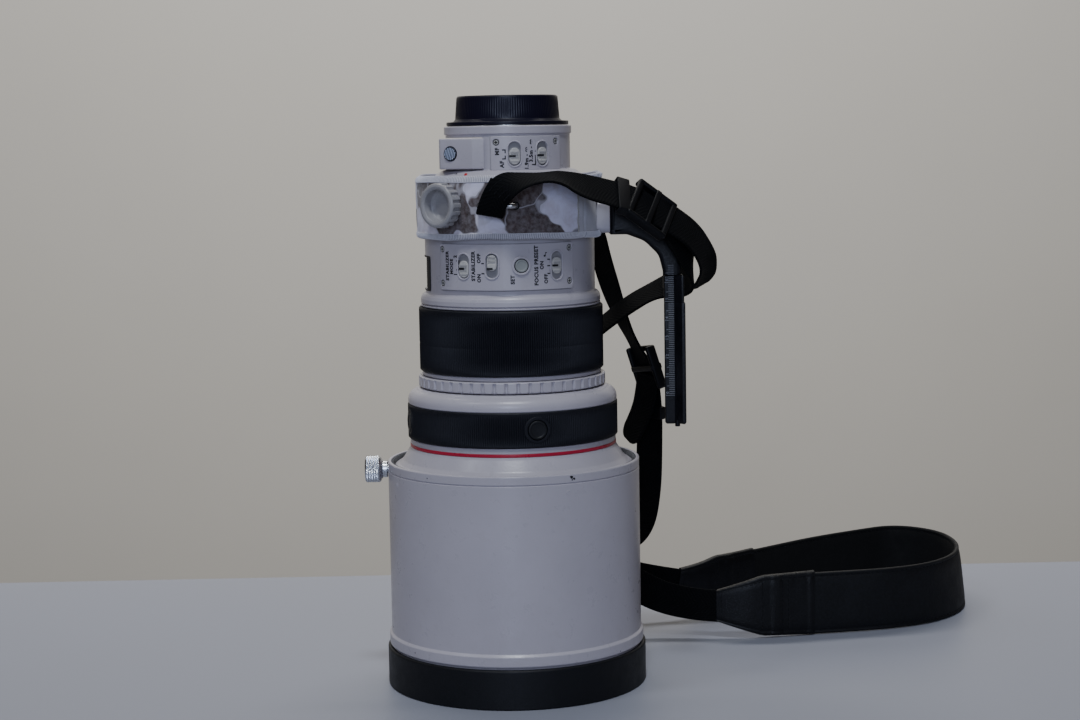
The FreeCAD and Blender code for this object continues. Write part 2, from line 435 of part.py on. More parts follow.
def line_points(ctrl, n):
    """Points of the clamped quadratic B-spline of the given rows."""
    m, k = len(ctrl), len(ctrl[0])
    knots = [0.0, 0.0] + [float(i) for i in range(m - 1)] + [float(m - 2)] * 2
    out = []
    for q in range((m - 2) * n + 1):
        t = q / float(n)
        s = min(int(t), m - 3) + 2
        d = [list(ctrl[j + s - 2]) for j in range(3)]
        for r in (1, 2):
            for j in range(2, r - 1, -1):
                a = (t - knots[j + s - 2]) / (knots[j + 1 + s - r] - knots[j + s - 2])
                d[j] = [(1 - a) * d[j - 1][c] + a * d[j][c] for c in range(k)]
        out.append(d[2])
    return out


def ribbon(ctrl, width, thick, n=3):
    """Flat band along the line, faceted, closed at both ends."""
    if not isinstance(width, list):
        width = [width] * len(ctrl)
    rows = line_points([tuple(c) + (w,) for c, w in zip(ctrl, width)], n)
    sect = []
    for i, p in enumerate(rows):
        a, b = rows[max(i - 1, 0)], rows[min(i + 1, len(rows) - 1)]
        t = V(b[0] - a[0], b[1] - a[1], b[2] - a[2])
        t.normalize()
        w = V(p[3], p[4], p[5])
        w = w - t * w.dot(t)
        w.normalize()
        nrm = w.cross(t)
        c = V(p[0], p[1], p[2])
        w, nrm = w * (p[6] / 2.0), nrm * (thick / 2.0)
        sect.append([c - w - nrm, c + w - nrm, c + w + nrm, c - w + nrm])
    faces = [Part.Face(Part.makePolygon(sect[0] + [sect[0][0]])), Part.Face(Part.makePolygon(sect[-1] + [sect[-1][0]]))]
    for s, e in zip(sect[:-1], sect[1:]):
        for j in range(4):
            k = (j + 1) % 4
            faces.append(Part.Face(Part.makePolygon([s[j], s[k], e[k], s[j]])))
            faces.append(Part.Face(Part.makePolygon([s[j], e[k], e[j], s[j]])))
    solid = Part.Solid(Part.makeShell(faces))
    if solid.Volume < 0:
        solid.reverse()
    length = sum((V(*q[:3]) - V(*p[:3])).Length for p, q in zip(rows[:-1], rows[1:]))
    return solid, length


def buckle(ctrl, at, along, out_w, out_t, in_w, in_t):
    """Flat frame round the band, at a place on its line (0 to 1)."""
    rows = line_points(ctrl, 8)
    i = int(round(at * (len(rows) - 1)))
    a, b, p = rows[max(i - 2, 0)], rows[min(i + 2, len(rows) - 1)], rows[i]
    t = V(b[0] - a[0], b[1] - a[1], b[2] - a[2])
    t.normalize()
    w = V(p[3], p[4], p[5])
    w = w - t * w.dot(t)
    w.normalize()
    nrm = w.cross(t)
    s = Part.makeBox(along, out_w, out_t, V(-along / 2, -out_w / 2, -out_t / 2)).cut(Part.makeBox(along + 2, in_w, in_t, V(-along / 2 - 1, -in_w / 2, -in_t / 2)))
    m = FreeCAD.Matrix(t.x, w.x, -nrm.x, p[0], t.y, w.y, -nrm.y, p[1], t.z, w.z, -nrm.z, p[2], 0, 0, 0, 1)
    s.transformShape(m, True)
    return s


wf, lf = ribbon(WEB_FRONT, WEB_W, WEB_T)
wr, lr = ribbon(WEB_REAR, WEB_W, WEB_T)
tf, ltf = ribbon(TAIL_FRONT, WEB_W, WEB_T)
tr, ltr = ribbon(TAIL_REAR, WEB_W, WEB_T)
pd, lp = ribbon(PAD, PAD_W, PAD_T)
af, laf = ribbon(TAB_FRONT, TAB_W, TAB_T)
ar, lar = ribbon(TAB_REAR, TAB_W[::-1], TAB_T)
save("strap_webbing_front", wf, tf)
save("strap_webbing_rear", wr, tr)
save("strap_pad", pd)
save("strap_tabs", af, ar)
bk = []
for ctrl, at in ((WEB_FRONT, 0.318), (WEB_REAR, 0.545)):
    r = buckle(ctrl, at, 25.0, 25.0, 6.2, 20.4, 3.4)
    bk.append(r)
for ctrl, at in ((WEB_FRONT, 0.262), (WEB_REAR, 0.61)):
    r = buckle(ctrl, at, 7.0, 23.0, 5.0, 20.0, 2.6)
    bk.append(r)
save("strap_buckles", *bk)
print("lengths mm:", [round(v, 1) for v in (lf, lr, ltf, ltr, lp, laf, lar)])
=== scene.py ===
import json
import random
from math import sin, cos, tan, pi, radians, degrees, sqrt, atan2, floor, hypot
import bpy
import bmesh
import numpy as np
from mathutils import Vector, Matrix, noise


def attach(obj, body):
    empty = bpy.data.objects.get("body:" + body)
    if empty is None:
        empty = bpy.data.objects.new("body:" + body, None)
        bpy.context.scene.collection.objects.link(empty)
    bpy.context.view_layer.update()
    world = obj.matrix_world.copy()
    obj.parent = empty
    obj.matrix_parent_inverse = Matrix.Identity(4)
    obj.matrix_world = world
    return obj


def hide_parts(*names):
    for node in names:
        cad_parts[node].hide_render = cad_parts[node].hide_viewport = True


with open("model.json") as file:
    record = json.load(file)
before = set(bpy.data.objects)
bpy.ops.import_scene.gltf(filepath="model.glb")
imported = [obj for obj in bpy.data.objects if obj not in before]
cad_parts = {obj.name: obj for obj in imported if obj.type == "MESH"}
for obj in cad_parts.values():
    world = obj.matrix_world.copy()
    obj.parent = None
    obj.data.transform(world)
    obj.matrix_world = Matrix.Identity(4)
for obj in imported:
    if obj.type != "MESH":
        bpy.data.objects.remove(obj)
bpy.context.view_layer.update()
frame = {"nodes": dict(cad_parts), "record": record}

MM = 0.001
COL = bpy.context.scene.collection
NODE = frame["nodes"]

# ------------------------------------------------------------------- camera
# Placed by a fit to the circles of the barrel; the image is 1080 x 720.
F_PX, CAM_YAW, CAM_PITCH, CAM_ROLL = 2098.6, 0.0135, 0.1054, -0.0172
cam_data = bpy.data.cameras.new("view_camera")
cam_data.sensor_fit = 'HORIZONTAL'
cam_data.sensor_width = 36.0
cam_data.lens = F_PX / 1080.0 * 36.0
cam_data.clip_start = 0.02
cam_data.clip_end = 30.0
camera = bpy.data.objects.new("view_camera", cam_data)
COL.objects.link(camera)
fw = Vector((sin(CAM_YAW) * cos(CAM_PITCH), cos(CAM_YAW) * cos(CAM_PITCH), -sin(CAM_PITCH)))
rt = fw.cross(Vector((0, 0, 1))).normalized()
up = rt.cross(fw)
r2 = cos(CAM_ROLL) * rt + sin(CAM_ROLL) * up
u2 = -sin(CAM_ROLL) * rt + cos(CAM_ROLL) * up
rot = Matrix((r2, u2, -fw)).transposed()
camera.matrix_world = Matrix.Translation(Vector((0.0, -1.12115, 0.29203))) @ rot.to_4x4()
bpy.context.scene.camera = camera


# ---------------------------------------------------------- the strap's route
# Control points in mm (x, y, z of the middle line, then the direction of the
# band's width); the line itself is read from a NURBS spline with these points.
WEB_FRONT = [
    (-8.9, -56.3, 255.6, 0.98, -0.15, -0.17), (-7.3, -58.3, 261.4, 0.93, -0.14, -0.32), (-3.2, -60.3, 267.6, 0.82, -0.25, -0.50),
    (7.5, -60.0, 271.6, 0.42, -0.82, -0.36), (22.0, -54.6, 272.4, 0.05, -0.98, -0.16), (36.0, -43.3, 267.6, -0.05, -0.82, -0.55),
    (51.0, -33.0, 263.6, -0.22, -0.80, -0.56), (66.0, -28.0, 259.0, -0.38, -0.72, -0.58), (78.5, -25.5, 250.0, -0.42, -0.70, -0.58),
    (88.8, -20.0, 238.5, -0.50, -0.70, -0.50), (96.0, -9.0, 229.5, -0.42, -0.35, -0.84), (98.6, 8.0, 219.5, 0.12, -0.28, -0.95),
    (96.0, 27.5, 212.5, 0.05, -0.45, -0.89), (80.0, 31.0, 208.5, -0.1, -0.9, -0.4), (61.5, 34.0, 197.5, -0.3, -0.72, -0.68),
    (44.5, 49.5, 182.0, -0.5, -0.35, -0.85), (24.0, 74.0, 163.0, -0.65, -0.35, -0.7), (2.0, 88.0, 138.0, -0.8, -0.55, -0.2),
    (-8.0, 92.0, 104.0, -0.75, -0.6, 0.0), (6.0, 93.0, 72.0, -0.75, -0.3, -0.5), (34.0, 92.0, 50.0, -0.45, -0.2, -0.8),
    (64.0, 89.0, 34.0, -0.3, 0.0, -1), (92.0, 85.0, 19.5, -0.05, 0, -1), (118.0, 79.0, 18.9, 0, 0, -1)]
WEB_REAR = [
    (-8.5, 56.4, 255.8, 0.98, 0.15, -0.17), (-6.8, 58.6, 261.0, 0.93, 0.14, -0.32), (1.5, 60.8, 264.6, 0.75, 0.35, -0.55),
    (15.0, 60.0, 262.6, 0.2, 0.8, -0.5), (29.0, 55.0, 257.4, -0.2, 0.85, -0.45), (41.0, 47.0, 250.0, -0.35, 0.85, -0.3),
    (47.5, 42.0, 242.0, -0.45, 0.85, -0.05), (50.5, 46.5, 227.0, -0.55, 0.83, 0.1), (55.5, 53.5, 209.0, -0.6, 0.8, 0.1),
    (62.0, 57.5, 190.0, -0.4, 0.9, 0.1), (69.5, 58.5, 175.0, -0.25, 0.95, 0.1), (77.0, 58.0, 160.0, -0.5, 0.85, 0.1),
    (78.0, 59.0, 140.0, -0.65, 0.75, 0.0), (77.5, 61.0, 118.0, -0.7, 0.7, 0.0), (77.0, 65.0, 94.0, -0.7, 0.7, 0.0),
    (74.0, 75.0, 71.0, -0.65, 0.65, 0.2), (65.0, 95.0, 57.5, -0.4, 0.6, 0.6), (51.0, 107.0, 42.0, 0.0, 0.4, 0.9),
    (58.0, 121.0, 32.0, 0.25, 0.1, 0.95), (78.0, 125.0, 25.5, 0.25, 0, 1), (99.0, 128.3, 21.5, 0.1, 0, 1)]
# the ends round the lug bars: (along the bar, above it, out from the axis, tilt in degrees)
END_FRONT = [(3.4, 10.6, 58.6, 30), (0.6, 6.4, 55.2, 22), (-1.4, 2.6, 52.6, 15), (-2.8, -1.0, 51.7, 11), (-3.6, -3.6, 52.6, 10), (-3.9, -4.9, 54.4, 10), (-3.6, -3.7, 56.0, 10)]
END_REAR = [(-3.4, 10.2, 58.2, -30), (-0.6, 6.2, 55.0, -22), (1.4, 2.6, 52.6, -15), (2.8, -1.0, 51.7, -11), (3.4, -3.6, 52.6, -10), (3.7, -4.7, 54.4, -10), (3.4, -3.5, 56.0, -10)]
TAIL_FRONT = [
    (76.5, -27.5, 253.6, 0.42, 0.68, 0.60), (88.5, -21.0, 246.5, 0.47, 0.76, 0.45), (99.0, -12.5, 237.5, 0.46, 0.83, 0.32),
    (105.6, -1.5, 226.0, 0.42, 0.86, 0.22), (106.0, 9.0, 217.5, 0.54, 0.79, 0.25), (104.3, 17.3, 211.4, 0.66, 0.68, 0.15)]
TAIL_REAR = [
    (76.2, 55.9, 158.0, 0.5, -0.85, -0.1), (76.0, 57.0, 149.0, 0.55, -0.8, -0.2), (72.7, 59.8, 134.0, 0.5, -0.85, -0.2),
    (65.2, 62.5, 120.0, 0.45, -0.85, -0.2)]
TAB_FRONT = [(117.0, 79.3, 19.2, 0, 0, 1), (130.0, 76.0, 19.2, 0, 0, 1), (145.0, 77.0, 19.2, 0, 0, 1),
             (165.0, 81.0, 19.2, 0, 0, 1), (174.0, 83.0, 19.2, 0, 0, 1)]
TAB_REAR = [(146.0, 153.5, 19.2, 0, 0, 1), (136.0, 145.5, 19.2, 0, 0, 1), (122.0, 137.0, 19.2, 0, 0, 1),
            (108.0, 131.0, 20.5, 0.05, 0, 1), (98.0, 128.0, 22.5, 0.1, 0, 1)]
PAD = [
    (171.0, 82.5, 18.6, 0, 0, 1), (200.0, 87.0, 18.6, 0, 0, 1), (227.0, 94.0, 18.6, 0, 0, 1),
    (251.0, 108.0, 18.5, -0.06, 0, 1), (271.0, 135.0, 18.5, -0.12, 0, 1), (279.0, 172.0, 18.5, -0.12, 0, 1),
    (273.0, 209.0, 18.5, -0.08, 0, 1), (247.0, 229.0, 18.6, 0, 0, 1), (219.0, 212.0, 18.6, 0, 0, 1),
    (188.0, 191.0, 18.6, 0, 0, 1), (162.0, 168.0, 18.6, 0, 0, 1), (143.0, 151.0, 18.6, 0, 0, 1)]
TAB_W = [19.0, 26.0, 38.0, 38.0, 38.0]
WEB_W, PAD_W = 19.0, 36.5
SLIDER_AT = [(73.5, -26.6, 253.8), (75.6, 58.2, 161.5)]
KEEPER_AT = [(59.0, -30.0, 261.0), (77.8, 59.3, 137.1)]


def nurbs_line(points, resolution):
    """Points in mm read from the NURBS spline with these control points, as numpy rows."""
    cu = bpy.data.curves.new("route", 'CURVE')
    cu.dimensions = '3D'
    cu.resolution_u = resolution
    sp = cu.splines.new('NURBS')
    sp.points.add(len(points) - 1)
    for q, p in zip(sp.points, points):
        q.co = (p[0], p[1], p[2], 1.0)
    sp.order_u = 3
    sp.use_endpoint_u = True
    sp.resolution_u = resolution
    ob = bpy.data.objects.new("route", cu)
    me = bpy.data.meshes.new_from_object(ob)
    co = np.array([tuple(v.co) for v in me.vertices])
    bpy.data.objects.remove(ob)
    bpy.data.curves.remove(cu)
    bpy.data.meshes.remove(me)
    return co


def unit(a):
    return a / np.maximum(np.linalg.norm(a, axis=-1, keepdims=True), 1e-12)


def band_frames(rows, resolution, widths=None):
    """Centre, tangent, width direction, face normal, width and distance along a route."""
    c = nurbs_line([r[:3] for r in rows], resolution)
    w = nurbs_line([r[3:6] for r in rows], resolution)
    width = nurbs_line([(k, 0.0, 0.0) for k in (widths or [WEB_W] * len(rows))], resolution)[:, 0]
    t = unit(np.gradient(c, axis=0))
    w = unit(w - t * np.sum(w * t, axis=1, keepdims=True))
    n = np.cross(w, t)
    s = np.concatenate([[0.0], np.cumsum(np.linalg.norm(np.diff(c, axis=0), axis=1))])
    return c, t, w, n, width, s


# ------------------------------------------------------------ node materials
class Tree:
    """Short hand for building a node material."""

    def __init__(self, name):
        self.mat = bpy.data.materials.new(name)
        self.mat.use_nodes = True
        self.t = self.mat.node_tree
        self.t.nodes.clear()
        self.out = self.add('ShaderNodeOutputMaterial')
        self.sh = self.add('ShaderNodeBsdfPrincipled')
        self.link(self.sh.outputs['BSDF'], self.out.inputs['Surface'])

    def add(self, kind, **props):
        n = self.t.nodes.new(kind)
        for k, v in props.items():
            setattr(n, k, v)
        return n

    def link(self, a, b):
        self.t.links.new(a, b)

    def put(self, socket, value):
        if hasattr(value, 'is_output'):
            self.link(value, socket)
        else:
            socket.default_value = value

    def math(self, op, a, b=0.0, c=0.0, clamp=False):
        n = self.add('ShaderNodeMath', operation=op, use_clamp=clamp)
        self.put(n.inputs[0], a)
        self.put(n.inputs[1], b)
        if op in ('MULTIPLY_ADD', 'COMPARE', 'SMOOTH_MIN', 'SMOOTH_MAX', 'WRAP'):
            self.put(n.inputs[2], c)
        return n.outputs[0]

    def coords(self, kind='Object'):
        return self.add('ShaderNodeTexCoord').outputs[kind]

    def uv(self):
        return self.add('ShaderNodeUVMap', uv_map='UVMap').outputs['UV']

    def xyz(self, v):
        n = self.add('ShaderNodeSeparateXYZ')
        self.link(v, n.inputs[0])
        return n.outputs

    def vec(self, x, y, z=0.0):
        n = self.add('ShaderNodeCombineXYZ')
        for i, v in enumerate((x, y, z)):
            self.put(n.inputs[i], v)
        return n.outputs[0]

    def noise(self, v, scale, detail=3.0, rough=0.55, dist=0.0):
        n = self.add('ShaderNodeTexNoise')
        self.link(v, n.inputs['Vector'])
        n.inputs['Scale'].default_value = scale
        n.inputs['Detail'].default_value = detail
        n.inputs['Roughness'].default_value = rough
        n.inputs['Distortion'].default_value = dist
        return n.outputs['Fac']

    def voronoi(self, v, scale, feature='F1', rnd=1.0):
        n = self.add('ShaderNodeTexVoronoi', feature=feature)
        self.link(v, n.inputs['Vector'])
        n.inputs['Scale'].default_value = scale
        n.inputs['Randomness'].default_value = rnd
        return n.outputs['Distance']

    def ramp(self, fac, stops, mode='LINEAR'):
        n = self.add('ShaderNodeValToRGB')
        n.color_ramp.interpolation = mode
        while len(n.color_ramp.elements) < len(stops):
            n.color_ramp.elements.new(0.5)
        for e, (p, c) in zip(n.color_ramp.elements, stops):
            e.position = p
            e.color = (c[0], c[1], c[2], 1.0) if not isinstance(c, float) else (c, c, c, 1.0)
        self.link(fac, n.inputs['Fac'])
        return n.outputs['Color']

    def mix(self, fac, a, b):
        n = self.add('ShaderNodeMix', data_type='RGBA')
        self.put(n.inputs['Factor'], fac)
        for s, v in ((n.inputs[6], a), (n.inputs[7], b)):
            if hasattr(v, 'is_output'):
                self.link(v, s)
            else:
                s.default_value = (v[0], v[1], v[2], 1.0)
        return n.outputs[2]

    def range(self, v, a0, a1, b0, b1):
        n = self.add('ShaderNodeMapRange')
        self.put(n.inputs[0], v)
        for i, k in enumerate((a0, a1, b0, b1)):
            n.inputs[i + 1].default_value = k
        return n.outputs[0]

    def bump(self, height, strength, distance, normal=None):
        n = self.add('ShaderNodeBump')
        n.inputs['Strength'].default_value = strength
        n.inputs['Distance'].default_value = distance
        self.link(height, n.inputs['Height'])
        if normal is not None:
            self.link(normal, n.inputs['Normal'])
        return n.outputs[0]

    def set(self, **kw):
        names = {'base': 'Base Color', 'rough': 'Roughness', 'metal': 'Metallic', 'normal': 'Normal', 'spec': 'Specular IOR Level',
                 'sheen': 'Sheen Weight', 'sheen_rough': 'Sheen Roughness', 'coat': 'Coat Weight', 'coat_rough': 'Coat Roughness',
                 'trans': 'Transmission Weight', 'ior': 'IOR', 'alpha': 'Alpha', 'aniso': 'Anisotropic', 'sheen_tint': 'Sheen Tint'}
        for k, v in kw.items():
            s = self.sh.inputs[names[k]]
            if hasattr(v, 'is_output'):
                self.link(v, s)
            elif isinstance(v, (tuple, list)) and len(v) == 3:
                s.default_value = (v[0], v[1], v[2], 1.0)
            else:
                s.default_value = v
        return self.mat


def shade(c, k):
    return tuple(max(0.0, min(1.0, x * k)) for x in c)


def paint(name, base, rough=0.38, peel=0.25, dirt=0.10, coat=0.0):
    """Sprayed enamel on metal: fine orange peel, faint smudges and handling marks."""
    t = Tree(name)
    v = t.coords()
    big = t.noise(v, 22.0, 4.0, 0.6)
    fine = t.noise(v, 900.0, 2.0, 0.5)
    smear = t.noise(v, 140.0, 5.0, 0.7, 0.4)
    spots = t.noise(v, 2600.0, 1.0, 0.5)
    col = t.mix(t.range(big, 0.3, 0.72, 0.0, 1.0), shade(base, 1.0 - dirt * 0.7), shade(base, 1.03))
    col = t.mix(t.range(smear, 0.58, 0.80, 0.0, 0.35), col, shade((base[0] * 0.86, base[1] * 0.82, base[2] * 0.76), 1.0 - dirt))
    col = t.mix(t.range(spots, 0.80, 0.84, 0.0, 0.30), col, shade(base, 0.45))
    r = t.math('ADD', t.range(smear, 0.3, 0.8, rough - 0.05, rough + 0.12), t.range(fine, 0.2, 0.8, -0.02, 0.02))
    n = t.bump(fine, peel, 0.00012)
    n = t.bump(smear, 0.10, 0.0002, n)
    return t.set(base=col, rough=r, normal=n, spec=0.5)


def rubber(name, base=(0.012, 0.013, 0.016), rough=0.62, grain=0.5, dust=0.5):
    t = Tree(name)
    v = t.coords()
    g = t.noise(v, 1500.0, 3.0, 0.6)
    d = t.noise(v, 120.0, 6.0, 0.72, 0.3)
    col = t.mix(t.range(d, 0.50, 0.85, 0.0, dust), base, (base[0] * 2.0 + 0.004, base[1] * 2.0 + 0.004, base[2] * 2.0 + 0.005))
    r = t.range(d, 0.25, 0.8, rough - 0.08, rough + 0.14)
    n = t.bump(g, grain, 0.00015)
    return t.set(base=col, rough=r, normal=n, spec=0.30)


def metal(name, base, rough=0.28, grain=0.3, turned=True):
    t = Tree(name)
    v = t.coords()
    x = t.xyz(v)
    z = t.vec(t.math('MULTIPLY', x[0], 0.03), t.math('MULTIPLY', x[1], 0.03), x[2]) if turned else v
    g = t.noise(z, 3800.0 if turned else 1800.0, 2.0, 0.6)
    d = t.noise(v, 160.0, 5.0, 0.65)
    col = t.mix(t.range(d, 0.35, 0.75, 0.0, 1.0), shade(base, 0.86), shade(base, 1.04))
    r = t.math('ADD', t.range(g, 0.25, 0.75, rough - 0.05, rough + 0.08), t.range(d, 0.45, 0.8, 0.0, 0.10))
    n = t.bump(g, grain, 0.00004)
    return t.set(base=col, rough=r, metal=1.0, normal=n)


def plastic(name, base, rough=0.35, grain=0.25, dust=0.25, spec=0.5):
    t = Tree(name)
    v = t.coords()
    g = t.noise(v, 2200.0, 2.0, 0.55)
    d = t.noise(v, 130.0, 6.0, 0.7, 0.3)
    lift = (base[0] * 1.25 + 0.009, base[1] * 1.25 + 0.009, base[2] * 1.25 + 0.011)
    col = t.mix(t.range(d, 0.5, 0.85, 0.0, dust), base, lift)
    r = t.range(d, 0.3, 0.8, rough - 0.05, rough + 0.13)
    n = t.bump(g, grain, 0.00008)
    return t.set(base=col, rough=r, normal=n, spec=spec)


def glass(name, tint=(0.55, 0.75, 0.72), rough=0.03):
    t = Tree(name)
    v = t.coords()
    d = t.noise(v, 60.0, 4.0, 0.6)
    r = t.range(d, 0.4, 0.8, rough, rough + 0.05)
    col = t.mix(t.range(d, 0.3, 0.7, 0.0, 1.0), tint, shade(tint, 1.08))
    return t.set(base=col, rough=r, trans=0.92, ior=1.52, spec=0.6)


WHITE = (0.470, 0.443, 0.488)
M = {
    "white_paint": paint("lens_enamel", WHITE, 0.30, 0.35, 0.09),
    "black_paint": plastic("black_lacquer", (0.012, 0.012, 0.013), 0.55, 0.3),
    "hood_rubber": rubber("hood_rubber_black", (0.0040, 0.0047, 0.0070), 0.50, 0.4, 0.15),
    "grip_rubber": rubber("grip_rubber_black", (0.0054, 0.0062, 0.0105), 0.52, 0.35, 0.18),
    "felt": rubber("felt_black", (0.006, 0.006, 0.006), 0.95, 1.0, 0.3),
    "red_line": paint("red_enamel", (0.46, 0.009, 0.042), 0.30, 0.1, 0.06),
    "bright_knob": metal("bright_knob_metal", (0.62, 0.64, 0.68), 0.25),
    "black_anodised": metal("black_anodised_metal", (0.03, 0.03, 0.035), 0.42),
    "foot_paint": paint("foot_enamel", (0.020, 0.023, 0.033), 0.36, 0.45, 0.1),
    "steel": metal("turned_steel", (0.55, 0.55, 0.56), 0.30),
    "coated_glass": glass("coated_glass"),
    "window_plastic": glass("window_clear", (0.75, 0.78, 0.80), 0.05),
    "button_plastic": rubber("button_rubber", (0.0085, 0.0092, 0.0115), 0.45, 0.2, 0.22),
    "switch_plastic": plastic("switch_grey", (0.50, 0.485, 0.465), 0.34, 0.2, 0.1),
    "scale_film": plastic("scale_black", (0.02, 0.02, 0.022), 0.5),
    "cap_plastic": plastic("cap_black", (0.0058, 0.0054, 0.0170), 0.34, 0.2, 0.0, 0.26),
    "board": plastic("board_green", (0.02, 0.11, 0.06), 0.4),
    "neoprene": plastic("neoprene_plain", (0.55, 0.54, 0.58), 0.9),
    "webbing": plastic("webbing_plain", (0.012, 0.012, 0.013), 0.8),
    "buckle_plastic": plastic("buckle_black", (0.0034, 0.0037, 0.0052), 0.42, 0.4, 0.04, 0.22),
    "strap_leather": plastic("leather_plain", (0.014, 0.014, 0.015), 0.5),
    "contacts": metal("gold_contacts", (0.80, 0.58, 0.25), 0.2),
}
slot_of = {s["node"]: s["material_slot"] for s in frame["record"]["subparts"]}


def dress(node, mat):
    o = NODE[node]
    if not o.data.materials:
        o.data.materials.append(mat)
    for i in range(len(o.data.materials)):
        o.data.materials[i] = mat
    for s in o.material_slots:
        s.material = mat


# ---------------------------------------------------------------- mesh tools
class Part:
    """Gathers solids, in mm, into one mesh piece with one or more materials."""

    def __init__(self):
        self.v, self.f, self.uv, self.mi, self.n = [], [], [], [], 0

    def add(self, verts, faces, place=None, bend=None, uv=None, mi=0):
        v = np.asarray(verts, dtype=float).reshape(-1, 3)
        if bend is not None:
            v = bend(v)
        if place is not None:
            m = np.array(place)
            v = v @ m[:3, :3].T + m[:3, 3]
        base = self.n
        self.v.append(v)
        self.n += len(v)
        for k, f in enumerate(faces):
            self.f.append([i + base for i in f])
            self.uv.append(uv[k] if uv is not None else None)
            self.mi.append(mi)
        return self

    def spin(self, prof, seg=64, place=None, mod=None, loop=True, mi=0, a0=None, a1=None, bend=None):
        """Profile of (r, z) points turned about the local Z axis. loop: the profile is a closed ring."""
        p = np.array([(q[0], q[1]) for q in prof], dtype=float)
        n = len(p)
        whole = a0 is None
        na = seg if whole else seg + 1
        ang = np.arange(seg) * (2 * pi / seg) if whole else np.radians(np.linspace(a0, a1, na))
        r = np.repeat(p[None, :, 0], na, 0)
        z = np.repeat(p[None, :, 1], na, 0)
        a = np.repeat(ang[:, None], n, 1)
        if mod is not None:
            r, z = mod(r, z, a)
        v = np.stack([r * np.cos(a), r * np.sin(a), z], axis=-1).reshape(-1, 3)
        run = np.concatenate([[0.0], np.cumsum(np.linalg.norm(np.diff(np.vstack([p, p[:1]]), axis=0), axis=1))]) * MM
        rr = float(np.max(p[:, 0])) * MM
        faces, uv = [], []
        jn = n if loop else n - 1
        for i in range(seg if whole else na - 1):
            i2 = (i + 1) % na
            ua, ub = i * 2 * pi / seg * rr, (i + 1) * 2 * pi / seg * rr
            for j in range(jn):
                j2 = (j + 1) % n
                q = [i * n + j, i2 * n + j, i2 * n + j2, i * n + j2]
                t = [(ua, run[j]), (ub, run[j]), (ub, run[j + 1]), (ua, run[j + 1])]
                if not loop and p[j, 0] < 1e-9:
                    q = [j] + q[2:] if whole else q
                    q[0] = j if whole else q[0]
                    if whole:
                        t = [t[0]] + t[2:]
                elif not loop and p[j2, 0] < 1e-9 and whole:
                    q = [q[0], q[1], j2]
                    t = t[:3]
                faces.append(q)
                uv.append(t)
        if not whole and loop:
            faces.append(list(range(n))[::-1])
            uv.append([(0.0, 0.0)] * n)
            faces.append([(na - 1) * n + j for j in range(n)])
            uv.append([(0.0, 0.0)] * n)
        return self.add(v, faces, place, bend, uv, mi)

    def tube(self, path, radius, seg=8, ring=False, place=None, mi=0, flat=1.0, bend=None):
        """Round bar along points; ends are domed."""
        p = np.array(path, dtype=float)
        n = len(p)
        if ring:
            t = unit(np.roll(p, -1, 0) - np.roll(p, 1, 0))
        else:
            t = unit(np.gradient(p, axis=0))
        ref = np.array([0.0, 0.0, 1.0]) if abs(t[0][2]) < 0.9 else np.array([1.0, 0.0, 0.0])
        x = unit(np.cross(t[0], ref))
        rows = []
        r = np.full(n, radius) if np.isscalar(radius) else np.array(radius, dtype=float)
        cs = [(p[i], t[i], r[i], 0.0) for i in range(n)]
        if not ring:
            cs = [(p[0], t[0], r[0] * 0.45, -r[0] * 0.85), (p[0], t[0], r[0] * 0.85, -r[0] * 0.5)] + cs + [(p[-1], t[-1], r[-1] * 0.85, r[-1] * 0.5), (p[-1], t[-1], r[-1] * 0.45, r[-1] * 0.85)]
        for c, d, rad, off in cs:
            x = unit(x - d * np.dot(x, d))
            y = np.cross(d, x)
            for k in range(seg):
                a = 2 * pi * k / seg
                rows.append(c + d * off + (x * cos(a) + y * sin(a) * flat) * rad)
        m = len(cs)
        faces = []
        for i in range(m if ring else m - 1):
            i2 = (i + 1) % m
            for k in range(seg):
                k2 = (k + 1) % seg
                faces.append([i * seg + k, i * seg + k2, i2 * seg + k2, i2 * seg + k])
        if not ring:
            faces.append(list(range(seg))[::-1])
            faces.append([(m - 1) * seg + k for k in range(seg)])
        return self.add(rows, faces, place, bend, None, mi)

    def make(self, name, mats, body, replaces=(), slot=None, sharp=33.0, recalc=True):
        me = bpy.data.meshes.new(name)
        v = np.vstack(self.v) * MM
        me.from_pydata(v.tolist(), [], self.f)
        if any(u is not None for u in self.uv):
            lay = me.uv_layers.new(name="UVMap")
            flat = []
            for f, u in zip(self.f, self.uv):
                if u is None:
                    flat.extend([0.0, 0.0] * len(f))
                else:
                    for q in u:
                        flat.extend((q[0], q[1]))
            lay.data.foreach_set("uv", flat)
        mats = mats if isinstance(mats, (list, tuple)) else [mats]
        for m in mats:
            me.materials.append(m)
        if len(mats) > 1:
            me.polygons.foreach_set("material_index", self.mi)
        me.update()
        if recalc:
            bm = bmesh.new()
            bm.from_mesh(me)
            used = [q for q in bm.verts if not q.link_faces]
            bmesh.ops.delete(bm, geom=used, context='VERTS')
            bmesh.ops.recalc_face_normals(bm, faces=bm.faces[:])
            bm.to_mesh(me)
            bm.free()
        me.shade_smooth()
        me.set_sharp_from_angle(angle=radians(sharp))
        ob = bpy.data.objects.new(name, me)
        COL.objects.link(ob)
        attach(ob, body)
        if replaces:
            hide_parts(*replaces)
        return ob


